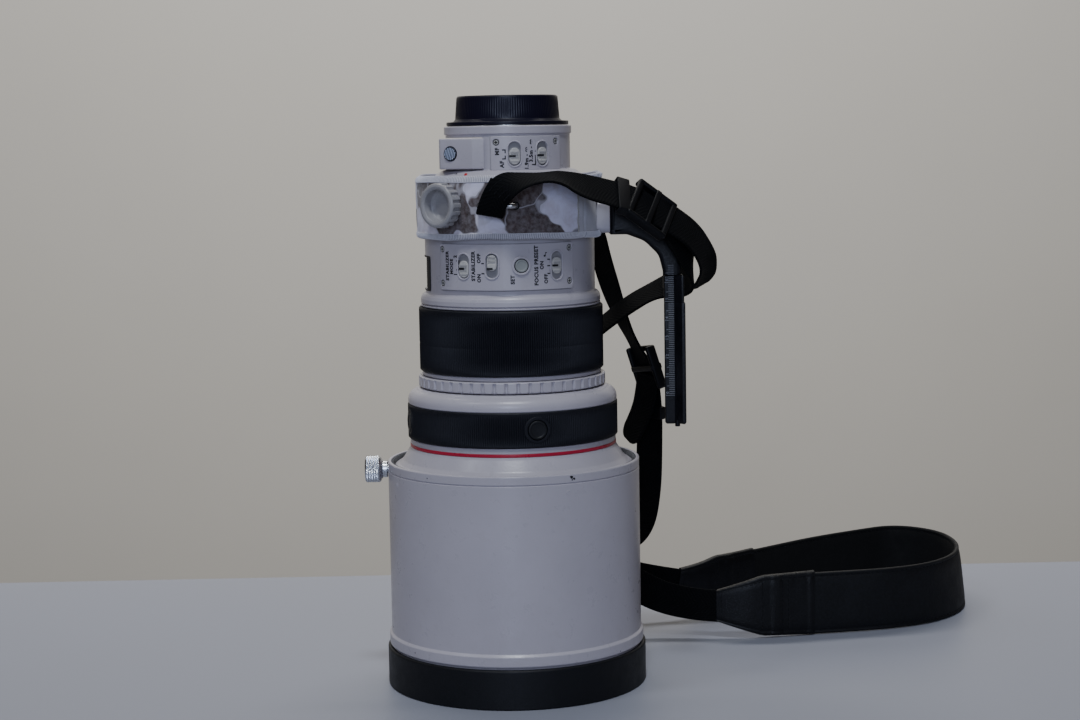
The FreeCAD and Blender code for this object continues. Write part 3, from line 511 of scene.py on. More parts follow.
def soften(pts, n=3, sup=0.2, closed=True):
    """Corner list (a, b[, radius]) -> points, corners rounded, with a support line each side."""
    out = []
    m = len(pts)
    for i, p in enumerate(pts):
        c = np.array(p[:2], dtype=float)
        f = p[2] if len(p) > 2 else 0.0
        if not closed and i in (0, m - 1):
            out.append(c)
            continue
        a, b = np.array(pts[i - 1][:2], dtype=float), np.array(pts[(i + 1) % m][:2], dtype=float)
        la, lb = np.linalg.norm(a - c), np.linalg.norm(b - c)
        da, db = (a - c) / la, (b - c) / lb
        ang = float(np.arccos(np.clip(np.dot(da, db), -1, 1)))
        if f <= 0 or pi - ang < 0.03:
            out.append(c)
            continue
        t = min(f / tan(ang / 2), la * 0.47, lb * 0.47)
        r = t * tan(ang / 2)
        ctr = c + unit(da + db) * (r / sin(ang / 2))
        p0, p1 = c + da * t, c + db * t
        if la - t > 3 * sup:
            out.append(p0 + da * sup)
        for k in range(n + 1):
            q = k / n
            d = unit((p0 - ctr) * sin((1 - q) * (pi - ang)) + (p1 - ctr) * sin(q * (pi - ang)))
            out.append(ctr + d * r)
        if lb - t > 3 * sup:
            out.append(p1 + db * sup)
    return out


def fill_line(pts, step):
    """Adds points so that no run of a profile is longer than step."""
    out = []
    for a, b in zip(pts, pts[1:] + pts[:1]):
        a, b = np.array(a[:2]), np.array(b[:2])
        k = max(1, int(np.ceil(np.linalg.norm(b - a) / step)))
        for i in range(k):
            out.append(a + (b - a) * i / k)
    return out


def turned(name, prof, mat, body, seg=256, mod=None, replaces=(), slot=None, fillets=True, sharp=33.0, n=3):
    """A turned ring: closed profile of (r, z[, radius]) about the lens axis."""
    q = soften(prof, n) if fillets else prof
    return Part().spin(q, seg, mod=mod).make(name, mat, body, replaces, slot, sharp)


def plate(outlines, thick, bevel, res=2, step=None, at=()):
    """Flat solid with holes in the XY plane, z 0 to thick, rounded on its edges. step: cut every so many mm along X."""
    cu = bpy.data.curves.new("plate", 'CURVE')
    cu.dimensions = '2D'
    cu.fill_mode = 'BOTH'
    cu.extrude = thick / 2 - bevel
    cu.bevel_depth = bevel
    cu.bevel_resolution = res
    cu.offset = -bevel
    for pts in outlines:
        sp = cu.splines.new('POLY')
        sp.points.add(len(pts) - 1)
        for q, p in zip(sp.points, pts):
            q.co = (p[0], p[1], 0.0, 1.0)
        sp.use_cyclic_u = True
    ob = bpy.data.objects.new("plate", cu)
    me = bpy.data.meshes.new_from_object(ob)
    bm = bmesh.new()
    bm.from_mesh(me)
    bmesh.ops.remove_doubles(bm, verts=bm.verts[:], dist=1e-4)
    if step:
        xs = [q.co.x for q in bm.verts]
        cuts = list(np.arange(min(xs) + step, max(xs) - step * 0.3, step)) + list(at)
        for x in cuts:
            bmesh.ops.bisect_plane(bm, geom=bm.verts[:] + bm.edges[:] + bm.faces[:], dist=1e-5, plane_co=(x, 0, 0), plane_no=(1, 0, 0))
    bm.verts.index_update()
    v = [(q.co.x, q.co.y, q.co.z + thick / 2) for q in bm.verts]
    f = [[q.index for q in face.verts] for face in bm.faces]
    bm.free()
    bpy.data.objects.remove(ob)
    bpy.data.curves.remove(cu)
    bpy.data.meshes.remove(me)
    return v, f


def words(text, size, thick=0.05, up=True, bold=0.05, track=1.12):
    """Lettering as a thin solid in the XY plane, centred; up: turned to read upwards."""
    cu = bpy.data.curves.new("word", 'FONT')
    cu.body = text
    cu.size = size
    cu.offset = size * bold
    cu.extrude = thick / 2
    cu.align_x = 'CENTER'
    cu.align_y = 'CENTER'
    cu.resolution_u = 3
    cu.space_character = track
    ob = bpy.data.objects.new("word", cu)
    me = bpy.data.meshes.new_from_object(ob)
    v = [(-q.co.y, q.co.x, q.co.z) if up else (q.co.x, q.co.y, q.co.z) for q in me.vertices]
    f = [list(p.vertices) for p in me.polygons]
    bpy.data.objects.remove(ob)
    bpy.data.curves.remove(cu)
    bpy.data.meshes.remove(me)
    return v, f


def rect(u0, u1, v0, v1, r=0.0, n=5):
    """Rounded rectangle, anticlockwise."""
    if r <= 0:
        return [(u0, v0), (u1, v0), (u1, v1), (u0, v1)]
    out = []
    for cx, cy, a0 in ((u1 - r, v0 + r, -90), (u1 - r, v1 - r, 0), (u0 + r, v1 - r, 90), (u0 + r, v0 + r, 180)):
        for k in range(n + 1):
            a = radians(a0 + 90 * k / n)
            out.append((cx + r * cos(a), cy + r * sin(a)))
    return out


def obround(cu_, cv, w, h, n=10):
    r = w / 2
    out = []
    for cy, a0 in ((cv + h / 2 - r, 0), (cv - h / 2 + r, 180)):
        for k in range(n + 1):
            a = radians(a0 + 180 * k / n)
            out.append((cu_ + r * cos(a), cy + r * sin(a)))
    return out


def circle(cx, cy, r, n=36):
    return [(cx + r * cos(2 * pi * k / n), cy + r * sin(2 * pi * k / n)) for k in range(n)]


def radial(az, z, r=0.0):
    """Local X along the tangent, Y up, Z outward, origin on the axis' line at height z and radius r."""
    a = radians(az)
    return Matrix(((-sin(a), 0, cos(a), r * cos(a)), (cos(a), 0, sin(a), r * sin(a)), (0, 1, 0, z), (0, 0, 0, 1)))


class Wrap:
    """Bends flat (u, v, w) onto a cylinder; u is measured at radius ref from azimuth az0, w from radius r0."""

    def __init__(self, r0, az0, ref, fold=None):
        self.r0, self.az0, self.ref, self.fold = r0, az0, ref, fold

    def u(self, az):
        return radians(az - self.az0) * self.ref

    def __call__(self, v):
        a = np.radians(self.az0) + v[:, 0] / self.ref
        w = v[:, 2]
        if self.fold:
            d = np.abs(v[:, 0] - self.fold[0])
            w = w + self.fold[1] * np.clip(1 - d / self.fold[2], 0, 1) * np.clip(w / 1.0, 0, 1)
        r = self.r0 + w
        return np.stack([r * np.cos(a), r * np.sin(a), v[:, 1]], axis=-1)


def shifted(vf, dx, dy, dz=0.0):
    v, f = vf
    return [(a + dx, b + dy, c + dz) for a, b, c in v], f


def carve(ob, cutters):
    """Cuts solids out of a piece."""
    for c in cutters:
        m = ob.modifiers.new("cut", 'BOOLEAN')
        m.operation = 'DIFFERENCE'
        m.solver = 'EXACT'
        m.object = c
    dg = bpy.context.evaluated_depsgraph_get()
    me = bpy.data.meshes.new_from_object(ob.evaluated_get(dg))
    ob.modifiers.clear()
    old = ob.data
    ob.data = me
    bpy.data.meshes.remove(old)
    for c in cutters:
        m = c.data
        bpy.data.objects.remove(c)
        bpy.data.meshes.remove(m)
    me.shade_smooth()
    me.set_sharp_from_angle(angle=radians(33.0))


def cutter(part):
    """A solid that is only used to cut another."""
    me = bpy.data.meshes.new("cutter")
    me.from_pydata((np.vstack(part.v) * MM).tolist(), [], part.f)
    bm = bmesh.new()
    bm.from_mesh(me)
    bmesh.ops.recalc_face_normals(bm, faces=bm.faces[:])
    bm.to_mesh(me)
    bm.free()
    ob = bpy.data.objects.new("cutter", me)
    COL.objects.link(ob)
    return ob


def block(x0, x1, y0, y1, z0, z1):
    v = [(x, y, z) for z in (z0, z1) for y in (y0, y1) for x in (x0, x1)]
    f = [[0, 2, 3, 1], [4, 5, 7, 6], [0, 1, 5, 4], [2, 6, 7, 3], [0, 4, 6, 2], [1, 3, 7, 5]]
    return v, f


def soft_box(w, d, h, r, place=None, n=3):
    """Block of w x d (rounded by r) and height h, centred, all edges rounded."""
    v, f = plate([rect(-w / 2, w / 2, -d / 2, d / 2, r, n)], h, min(r, h * 0.45), n - 1)
    return [(a, b, c - h / 2) for a, b, c in v], f


PRINT_SCALE = 40.0


def cloth_print(name):
    """Stretch fabric, printed: pale ground with soft grey and brown cloud shapes, fine knit."""
    t = Tree(name)
    v = t.coords()
    x = t.xyz(v)
    az = t.math('ARCTAN2', x[1], x[0])
    w1 = t.noise(v, 45.0, 2.0, 0.5)
    w2 = t.noise(t.vec(t.math('ADD', x[0], 5.1), x[1], x[2]), 45.0, 2.0, 0.5)
    warped = t.vec(t.math('ADD', x[0], t.math('MULTIPLY', t.math('SUBTRACT', w1, 0.5), 0.046)), t.math('ADD', x[1], 0.0),
                   t.math('ADD', t.math('MULTIPLY', x[2], 0.85), t.math('MULTIPLY', t.math('SUBTRACT', w2, 0.5), 0.046)))
    cell = t.add('ShaderNodeTexVoronoi', feature='F1')
    t.link(warped, cell.inputs['Vector'])
    cell.inputs['Scale'].default_value = PRINT_SCALE
    pick = t.xyz(cell.outputs['Color'])
    rim = t.add('ShaderNodeTexVoronoi', feature='DISTANCE_TO_EDGE')
    t.link(warped, rim.inputs['Vector'])
    rim.inputs['Scale'].default_value = PRINT_SCALE
    n3 = t.noise(v, 95.0, 4.0, 0.65, 0.5)
    fine = t.noise(v, 420.0, 3.0, 0.6)
    ground = t.mix(t.range(n3, 0.3, 0.75, 0.0, 1.0), (0.74, 0.71, 0.86), (0.58, 0.57, 0.71))
    warm = t.mix(t.range(n3, 0.45, 0.7, 0.0, 0.6), ground, (0.58, 0.48, 0.49))
    grey = t.mix(t.range(n3, 0.25, 0.7, 0.0, 1.0), (0.28, 0.26, 0.30), (0.17, 0.16, 0.19))
    brown = t.mix(t.range(n3, 0.35, 0.65, 0.0, 1.0), (0.050, 0.034, 0.032), (0.108, 0.076, 0.073))
    col = t.mix(t.math('GREATER_THAN', pick[1], 0.74), warm, grey)
    col = t.mix(t.math('GREATER_THAN', pick[0], 0.56), col, brown)
    col = t.mix(t.range(rim.outputs['Distance'], 0.010, 0.030, 0.55, 0.0), col, (0.52, 0.50, 0.55))
    seam_zone = t.math('LESS_THAN', t.math('ABSOLUTE', az), radians(43.0))
    col = t.mix(seam_zone, col, t.mix(t.range(n3, 0.3, 0.7, 0.0, 1.0), (0.55, 0.53, 0.58), (0.46, 0.45, 0.50)))
    col = t.mix(t.math('MAXIMUM', t.math('LESS_THAN', x[2], 0.2436), t.math('GREATER_THAN', x[2], 0.2698)), col, (0.36, 0.35, 0.40))
    col = t.mix(t.range(fine, 0.35, 0.75, 0.0, 0.18), col, (0.75, 0.74, 0.80))
    knit = t.math('MULTIPLY', t.math('SINE', t.math('MULTIPLY', az, 420.0)), t.math('SINE', t.math('MULTIPLY', x[2], 7200.0)))
    nn = t.bump(knit, 0.22, 0.00010)
    nn = t.bump(fine, 0.35, 0.00018, nn)
    return t.set(base=col, rough=t.range(n3, 0.3, 0.7, 0.82, 0.95), normal=nn, spec=0.25, sheen=0.35, sheen_rough=0.5)


def woven(name, base, pitch_u, pitch_v, strength=0.7, sheen=0.25):
    """Woven band: u runs along it, v across, both in metres."""
    t = Tree(name)
    uv = t.xyz(t.uv())
    wu = t.math('MULTIPLY', uv[0], 2 * pi / pitch_u)
    wv = t.math('MULTIPLY', uv[1], 2 * pi / pitch_v)
    diag = t.math('SINE', t.math('ADD', wu, t.math('MULTIPLY', t.math('ABSOLUTE', uv[1]), 2 * pi / (pitch_u * 1.2))))
    warp = t.math('SINE', wv)
    h = t.math('ADD', t.math('MULTIPLY', diag, 0.6), t.math('MULTIPLY', warp, 0.4))
    fuzz = t.noise(t.coords(), 1800.0, 3.0, 0.6)
    dust = t.noise(t.coords(), 90.0, 5.0, 0.65)
    # thread crowns lighter and grooves darker, following the weave's height: painted shade
    col = t.mix(t.range(h, -0.9, 0.9, 0.0, 1.0), shade(base, 0.75), shade(base, 1.15))
    col = t.mix(t.range(dust, 0.52, 0.8, 0.0, 0.3), col, (base[0] * 1.8 + 0.003, base[1] * 1.8 + 0.003, base[2] * 1.8 + 0.004))
    nn = t.bump(h, strength, 0.00022)
    nn = t.bump(fuzz, 0.4, 0.0001, nn)
    return t.set(base=col, rough=t.range(h, -1.0, 1.0, 0.88, 0.74), normal=nn, spec=0.10, sheen=sheen, sheen_rough=0.45)


def leather(name, base, cell=900.0, rough=0.5, strength=0.5):
    t = Tree(name)
    v = t.coords()
    g = t.voronoi(v, cell)
    g2 = t.noise(v, 320.0, 4.0, 0.6)
    d = t.noise(v, 75.0, 5.0, 0.65)
    col = t.mix(t.range(g, 0.15, 0.7, 0.0, 1.0), shade(base, 1.2), shade(base, 0.6))
    col = t.mix(t.range(d, 0.5, 0.82, 0.0, 0.35), col, (base[0] * 1.8 + 0.006, base[1] * 1.8 + 0.006, base[2] * 1.8 + 0.008))
    nn = t.bump(g, strength, 0.00018)
    nn = t.bump(g2, 0.3, 0.0003, nn)
    return t.set(base=col, rough=t.range(d, 0.3, 0.75, rough - 0.06, rough + 0.12), normal=nn, spec=0.28)


def crinkle(name, base, rough=0.36):
    """Hammered dark enamel on the foot."""
    t = Tree(name)
    v = t.coords()
    g = t.voronoi(v, 1100.0, 'SMOOTH_F1')
    f = t.noise(v, 2400.0, 2.0, 0.5)
    d = t.noise(v, 110.0, 6.0, 0.7)
    col = t.mix(t.range(d, 0.4, 0.8, 0.0, 0.5), base, (base[0] * 1.5 + 0.004, base[1] * 1.5 + 0.004, base[2] * 1.5 + 0.006))
    nn = t.bump(g, 0.35, 0.00022)
    nn = t.bump(f, 0.2, 0.0001, nn)
    return t.set(base=col, rough=t.range(d, 0.3, 0.8, rough - 0.05, rough + 0.12), normal=nn, spec=0.35)


def felt(name, base):
    t = Tree(name)
    v = t.coords()
    f = t.noise(v, 1300.0, 5.0, 0.75)
    d = t.noise(v, 160.0, 4.0, 0.7)
    col = t.mix(t.range(f, 0.35, 0.7, 0.0, 1.0), shade(base, 0.5), shade(base, 1.6))
    return t.set(base=t.mix(t.range(d, 0.5, 0.8, 0.0, 0.3), col, shade(base, 3.0)), rough=t.range(f, 0.2, 0.8, 0.9, 1.0), normal=t.bump(f, 1.0, 0.0004), spec=0.1, sheen=0.3, sheen_rough=0.6)


def coated(name, tint):
    """Lens glass with a coloured coating and a little dust."""
    t = Tree(name)
    v = t.coords()
    d = t.noise(v, 900.0, 2.0, 0.5)
    big = t.noise(v, 18.0, 2.0, 0.5)
    # the tint turns with the viewing angle: painted coating reflection
    facing_reflection = t.add('ShaderNodeLayerWeight')
    facing_reflection.inputs['Blend'].default_value = 0.35
    col = t.mix(facing_reflection.outputs['Facing'], tint, (tint[2], tint[1] * 0.8, tint[0] * 1.2))
    col = t.mix(t.range(big, 0.35, 0.7, 0.0, 0.4), col, shade(tint, 1.2))
    return t.set(base=col, rough=t.range(d, 0.7, 0.85, 0.02, 0.25), trans=0.85, ior=1.6, spec=0.9)


M["neoprene"] = cloth_print("cover_fabric")
M["webbing"] = woven("webbing_weave", (0.0026, 0.0028, 0.0036), 0.0022, 0.0011, 0.5, 0.01)
M["pad_outer"] = leather("pad_face", (0.0036, 0.0042, 0.0062), 620.0, 0.60, 0.35)
M["pad_inner"] = rubber("pad_back", (0.0016, 0.0018, 0.0024), 0.85, 0.9, 0.06)
M["strap_leather"] = leather("tab_leather", (0.0034, 0.0038, 0.0055), 950.0, 0.44, 0.5)
M["thread_black"] = woven("thread_dark", (0.0085, 0.0088, 0.0105), 0.0006, 0.0004, 0.6, 0.08)
M["thread_white"] = paint("thread_pale", (0.70, 0.69, 0.74), 0.8, 0.6, 0.12)
M["foot_paint"] = crinkle("foot_hammered", (0.0022, 0.0026, 0.0048))
M["felt"] = felt("felt_lining", (0.006, 0.006, 0.0065))
M["coated_glass"] = coated("lens_glass", (0.45, 0.72, 0.66))
M["ink"] = plastic("lettering_black", (0.004, 0.004, 0.006), 0.6, 0.2, 0.05)
M["ink_white"] = plastic("lettering_white", (0.50, 0.51, 0.53), 0.55, 0.3, 0.3)
M["ink_grey"] = plastic("lettering_grey", (0.23, 0.24, 0.27), 0.6, 0.3, 0.3)
M["ink_red"] = paint("index_red", (0.50, 0.012, 0.02), 0.35, 0.1, 0.05)
# near-black felt for the discs and rings set in the gaps round buttons and screw heads, which is painted shade in those
# gaps; also used for the dark lug grommets
M["gap"] = felt("shadow_gap", (0.004, 0.004, 0.004))
M["fold_grey"] = paint("cover_binding", (0.40, 0.38, 0.35), 0.85, 0.8, 0.12)
# darker grey for the slot floors, the plates under the panels and the lines between slider ribs: painted shade
M["slot_floor"] = paint("slot_floor_enamel", (0.27, 0.262, 0.275), 0.5, 0.3, 0.12)
M["button_grey"] = plastic("button_grey", (0.31, 0.325, 0.31), 0.42, 0.3, 0.15)
# dark blue-grey for the disc and ring under the release button's ribs: painted shade between the ribs and in the gap
# round it
M["button_dark"] = plastic("button_painted_groove_shade", (0.020, 0.024, 0.040), 0.4, 0.3, 0.1)
# bluish tone of the release buttons, made pale in a diffuse enamel: the brightness is painted in place of the metal's
# reflection
M["release_metal"] = paint("release_tint_and_painted_sheen", (0.44, 0.50, 0.64), 0.34, 0.3, 0.1)
M["screw_grey"] = paint("screw_enamel", (0.40, 0.39, 0.375), 0.4, 0.2, 0.12)
M["knob_paint"] = paint("knob_enamel", (0.325, 0.315, 0.325), 0.27, 0.2, 0.10)
for node_name in NODE:
    dress(node_name, M[slot_of[node_name]])
W = M["white_paint"]


# ---------------------------------------------------------------- hood
def rib(angle, count, duty, depth, edge=0.12):
    """Depth of flat-topped ribs at an angle: 0 on a rib, -depth in a groove, with sloping sides."""
    ph = np.mod(angle * count / (2 * pi), 1.0)
    d = np.minimum(np.abs(ph - 0.5), 1.0)
    g = np.clip((duty / 2 + edge / 2 - d) / edge, 0, 1)
    return -depth * g


turned("hood_shell", [
    (65.6, 3.0), (67.6, 3.0), (67.6, 21.4, 0.5), (68.8, 22.5, 0.8), (68.8, 27.5, 0.8), (67.6, 28.8, 0.5),
    (67.6, 115.75, 0.15), (67.0, 116.2, 0.12), (67.6, 116.65, 0.15), (67.6, 121.1, 1.6), (66.1, 121.1, 0.3), (65.9, 120.6), (65.6, 119.0), (65.6, 90.85), (60.5, 90.85, 0.3), (60.5, 88.6, 0.3), (63.6, 88.6), (65.6, 86.6)],
    W, "hood", 288, replaces=["hood_tube"], slot="white_paint")
hood_hole = cutter(Part().spin([(0, 0), (2.9, 0), (2.9, 12), (0, 12)], 40, Matrix.Translation((-60, 0, 116)) @ Matrix.Rotation(-pi / 2, 4, 'Y'), loop=False))
carve(bpy.data.objects["hood_shell"], [hood_hole])


def soft_ripple(r, z, a):
    k = np.clip((r - 69.0) / 0.8, 0, 1)
    return r + k * (0.05 * np.sin(3 * a + 0.6) + 0.03 * np.sin(7 * a + 2.0)), z


turned("hood_front_rubber", [
    (64.4, 0.0, 0.4), (69.9, 0.0, 0.7), (69.9, 21.0, 1.5), (67.6, 21.0, 0.2), (67.6, 3.0), (64.4, 3.0)],
    M["hood_rubber"], "hood", 240, mod=soft_ripple, replaces=["hood_rubber_ring"], slot="hood_rubber")
turned("hood_felt", [
    (64.45, 99.0, 0.3), (65.7, 99.0), (65.95, 120.75), (64.75, 120.75, 0.3)], M["felt"], "hood", 144, replaces=["hood_felt_lining"], slot="felt")


def screw_head(part, place, r, cross=True, mi=0, dark=1):
    """Countersunk screw head with a cross recess, local Z outward; its top is at z 0."""
    outline = [circle(0, 0, r * 0.86, 40)]
    w, l = r * 0.20, r * 0.62
    if cross:
        outline.append([(l, -w), (l, w), (w, w), (w, l), (-w, l), (-w, w), (-l, w), (-l, -w), (-w, -w), (-w, -l), (w, -l), (w, -w)][::-1])
    v, f = plate(outline, 0.5, 0.07, 1)
    part.add([(x, y, z - 0.5 + 0.10 * (1 - (x * x + y * y) / (r * r))) for x, y, z in v], f, place, mi=mi)
    # dark disc under the head, wider than it: a painted shadow ring round the head
    part.spin([(0, -0.75), (r * 1.06, -0.75), (r * 1.06, -0.22), (0, -0.22)], 32, place, loop=False, mi=dark)
    return part


p = Part()
for k in range(4):
    screw_head(p, radial(-65.7 + 90 * k, 111.4, 67.62), 1.55)
    p.spin(soften([(1.55, -0.4), (2.0, -0.4), (2.0, 0.02, 0.05), (1.62, -0.12)]), 40, radial(-65.7 + 90 * k, 111.4, 67.6))
p.make("hood_screw_heads", [M["white_paint"], M["gap"]], "hood", ["hood_screws"], "steel")


def knurl(r, z, a):
    band = (z > 8.2) & (z < 15.0) & (r > 6.4)
    d = 0.20 * (0.5 + 0.5 * np.cos(60 * a + z * 2.4)) + 0.20 * (0.5 + 0.5 * np.cos(60 * a - z * 2.4))
    return r - np.where(band, d, 0.0), z


kn = soften([(0.0, 0.0), (2.4, 0.0), (2.4, 3.65), (4.6, 3.65, 0.3), (4.6, 6.2, 0.2), (5.6, 6.9, 0.2), (6.6, 7.3, 0.3), (7.2, 8.0, 0.2), (7.2, 15.0, 0.3), (6.4, 15.7, 0.4),
             (3.4, 15.7, 0.3), (3.0, 15.2, 0.2), (1.5, 15.2, 0.1), (1.4, 13.1), (0.0, 13.1)], closed=False)
kn2 = []
for a, b in zip(kn, kn[1:]):
    kn2.append(a)
    if abs(a[0] - 7.2) < 0.05 and abs(b[0] - 7.2) < 0.05:
        q = int(np.ceil(abs(b[1] - a[1]) / 0.28))
        kn2 += [a + (b - a) * i / q for i in range(1, q)]
kn2.append(kn[-1])
Part().spin(kn2, 360, Matrix.Translation((-64.3, 0, 116)) @ Matrix.Rotation(-pi / 2, 4, 'Y'), mod=knurl, loop=False).make(
    "hood_lock_screw", M["bright_knob"], "hood_lock", ["hood_lock_knob"], "bright_knob", sharp=50)

# small wear marks where the enamel has chipped
rng = random.Random(11)
p = Part()
for az, z, s in ((-64.3, 119.3, 1.25), (-62.9, 118.5, 0.95), (-65.6, 119.7, 0.7), (-61.8, 119.9, 0.5), (-63.9, 117.9, 0.6), (-131.5, 118.5, 0.5), (20.0, 119.6, 0.7), (150.0, 119.1, 0.6), (-141.0, 25.0, 0.5), (-38.0, 23.4, 0.4)):
    base = 67.6 if z > 60 else 68.8
    if z > 119.2:
        base = 67.6 - (z - 119.2) ** 2 * 0.28
    pts = [(rng.uniform(0.45, 1.0) * s * cos(q * pi / 5), rng.uniform(0.35, 0.9) * s * sin(q * pi / 5)) for q in range(10)]
    v, f = plate([pts], 0.10, 0.02, 1)
    p.add([(x, y, zz - 0.05) for x, y, zz in v], f, radial(az, z, base))
p.make("enamel_chips", M["ink"], "hood")

# -------------------------------------------------------------- front barrel
turned("front_barrel_shell", [
    (60.0, 91.0, 0.3), (64.0, 91.0, 0.3), (64.0, 118.4, 0.6), (62.9, 119.2, 0.5), (61.4, 120.0, 1.4), (59.4, 121.9, 4.0), (57.6, 124.8, 8.0), (55.75, 127.7, 2.4), (55.2, 128.95, 0.2),
    (54.2, 128.95), (54.2, 130.75), (55.2, 130.75, 0.15), (55.2, 133.4, 0.3), (54.6, 133.7), (50.0, 133.7), (50.0, 126.0), (55.0, 119.0), (60.0, 114.5)],
    W, "barrel", 288, replaces=["front_barrel"], slot="white_paint", n=5)
turned("red_line_ring", [(54.2, 129.0), (55.38, 129.0, 0.25), (55.38, 130.7, 0.25), (54.2, 130.7)], M["red_line"], "barrel", 256, replaces=["red_ring"], slot="red_line")


def stop_ribs(r, z, a):
    k = np.clip((z - 134.6) / 0.5, 0, 1) * np.clip((151.4 - z) / 0.5, 0, 1) * (r > 55.9)
    return r + k * rib(a, 300, 0.42, 0.42, 0.3), z


g = soften([(52.0, 133.7), (55.7, 133.7, 0.3), (56.3, 134.3, 0.3), (56.3, 151.6, 0.3), (55.7, 152.2, 0.3), (52.0, 152.2)], 2)
g = fill_line([tuple(q) for q in g], 2.6)
ring = Part().spin(g, 1200, mod=stop_ribs)
ring.make("stop_button_ring", M["grip_rubber"], "barrel", ["stop_button_grip"], "grip_rubber", sharp=40)
wells = []
cups = Part()
for az in (-77, -167, 13, 103):
    wells.append(cutter(Part().spin([(0, -3.1), (6.0, -3.1), (6.0, 2.0), (0, 2.0)], 64, radial(az, 143.0, 56.25), loop=False)))
    cups.spin(soften([(5.25, -2.4), (5.25, 0.10, 0.25), (6.85, 0.10, 0.4), (7.15, -0.4, 0.2), (7.15, -1.6), (6.05, -2.4)]), 64, radial(az, 143.0, 56.25))
    cups.spin(soften([(0, -2.9), (5.9, -2.9), (5.9, -2.05), (0, -2.05)], closed=False), 48, radial(az, 143.0, 56.2), loop=False)
carve(bpy.data.objects["stop_button_ring"], wells)
cups.make("stop_button_cups", M["grip_rubber"], "barrel", sharp=40)
for i, az in enumerate((-77, -167, 13, 103)):
    Part().spin(soften([(0.0, -0.6), (4.9, -0.6), (4.9, 0.55, 0.45), (3.9, 0.55, 0.25), (3.5, 0.22, 0.3), (1.6, 0.12, 0.5), (0.0, 0.10)], closed=False), 64, radial(az, 143.0, 56.25), loop=False).make(
        "stop_button_cap_%d" % (i + 1), M["button_plastic"], "stop_button_%d" % (i + 1), ["stop_button_%d" % (i + 1)], "button_plastic")

# ---------------------------------------------------------------- mid barrel
sh = [(50.4 + 5.6 * cos(radians(a)), 154.0 + 5.6 * sin(radians(a))) for a in range(0, 80, 6)]
mid_prof = [(43.0, 126.0), (50.0, 126.0), (50.0, 133.7), (52.0, 133.7), (52.0, 152.2), (55.6, 152.2, 0.2), (56.0, 152.7, 0.2)] + sh + [
    (50.9, 160.0, 0.2), (49.6, 160.5, 0.2), (46.0, 160.5), (46.0, 167.4), (47.5, 167.4, 0.25), (47.9, 167.8, 0.2), (47.9, 169.2, 0.25), (47.5, 169.6), (45.2, 169.6), (45.2, 204.0), (43.0, 204.0)]
turned("mid_barrel_shell", mid_prof, W, "barrel", 256, replaces=["mid_barrel"], slot="white_paint")


def play_ribs(r, z, a):
    ph = np.mod(a * 50 / (2 * pi), 1.0)
    d = np.abs(ph - 0.5) * 2                       # 0 mid rib, 1 mid groove
    groove = np.clip((d - 0.70) / 0.14, 0, 1)
    low = np.clip((161.2 + 1.5 * (d ** 4) + 0.35 - z) / 0.7, 0, 1)   # rounded lower ends
    outer = np.clip((r - 48.9) / 0.4, 0, 1)
    top = np.clip((166.7 - z) / 0.3, 0, 1)
    return r - outer * (1.0 * np.maximum(groove * top, low)), z


g = soften([(46.3, 160.9), (49.4, 160.9, 0.2), (50.0, 161.5, 0.3), (50.0, 166.6, 0.3), (49.4, 167.1, 0.2), (46.3, 167.1)], 2)
g = fill_line([tuple(q) for q in g], 0.7)
Part().spin(g, 800, mod=play_ribs).make("playback_ring_ribbed", W, "playback_ring", ["playback_ring"], "white_paint", sharp=40)


def focus_ribs(r, z, a):
    k = np.clip((z - 170.9) / 0.4, 0, 1) * np.clip((202.7 - z) / 0.4, 0, 1) * (r > 48.8)
    out = r + k * rib(a, 264, 0.40, 0.55, 0.26)
    line = np.exp(-((z - 184.4) / 0.42) ** 2) * (r > 48.8)
    return out - 0.16 * line, z


g = soften([(47.6, 169.9), (48.7, 169.9, 0.25), (49.2, 170.5, 0.3), (49.2, 183.6), (49.2, 184.0), (49.2, 184.4), (49.2, 184.8), (49.2, 185.2), (49.2, 203.1, 0.3), (48.7, 203.7, 0.25), (47.6, 203.7)], 2)
g = fill_line([tuple(q) for q in g], 3.2)
Part().spin(g, 1056, mod=focus_ribs).make("focus_rubber", M["grip_rubber"], "focus_ring", ["focus_grip"], "grip_rubber", sharp=40)

# ------------------------------------------------------------- switch barrel
turned("switch_barrel_shell", [
    (39.5, 204.0), (47.6, 204.0, 0.3), (48.0, 204.4, 0.2), (48.0, 205.0, 0.1), (46.9, 205.25, 0.05), (46.9, 205.7, 0.05), (48.0, 205.95, 0.1), (48.0, 208.2, 0.8), (47.5, 209.7, 1.0), (46.6, 210.8, 0.8), (45.4, 211.3, 0.5),
    (45.2, 212.2, 0.5), (45.2, 240.7, 0.3), (44.8, 241.0), (42.0, 241.0), (42.0, 271.0), (39.5, 271.0)], W, "barrel", 256, replaces=["switch_barrel"], slot="white_paint")
win = cutter(Part().spin([(38.0, 213.2), (50.0, 213.2), (50.0, 230.5), (38.0, 230.5)], 16, a0=165.0, a1=195.0))
carve(bpy.data.objects["switch_barrel_shell"], [win])
Part().spin(soften([(43.5, 213.2), (44.7, 213.2, 0.15), (44.7, 230.5, 0.15), (43.5, 230.5)]), 40, a0=165.0, a1=195.0).make(
    "distance_window_pane", M["window_plastic"], "barrel", ["distance_window"], "window_plastic")
p = Part()
wb = Wrap(45.2, 180.0, 45.2)
hw = wb.u(195.0)
hb = wb.u(202.6)
p.add(*plate([rect(-hb, hb, 212.6, 231.1, 1.6), rect(-hw + 0.1, hw - 0.1, 213.4, 230.3, 0.7)[::-1]], 0.45, 0.15, 2, 2.0), bend=lambda v: wb(v - np.array([0, 0, 0.1])))
p.make("window_frame", M["black_paint"], "barrel")

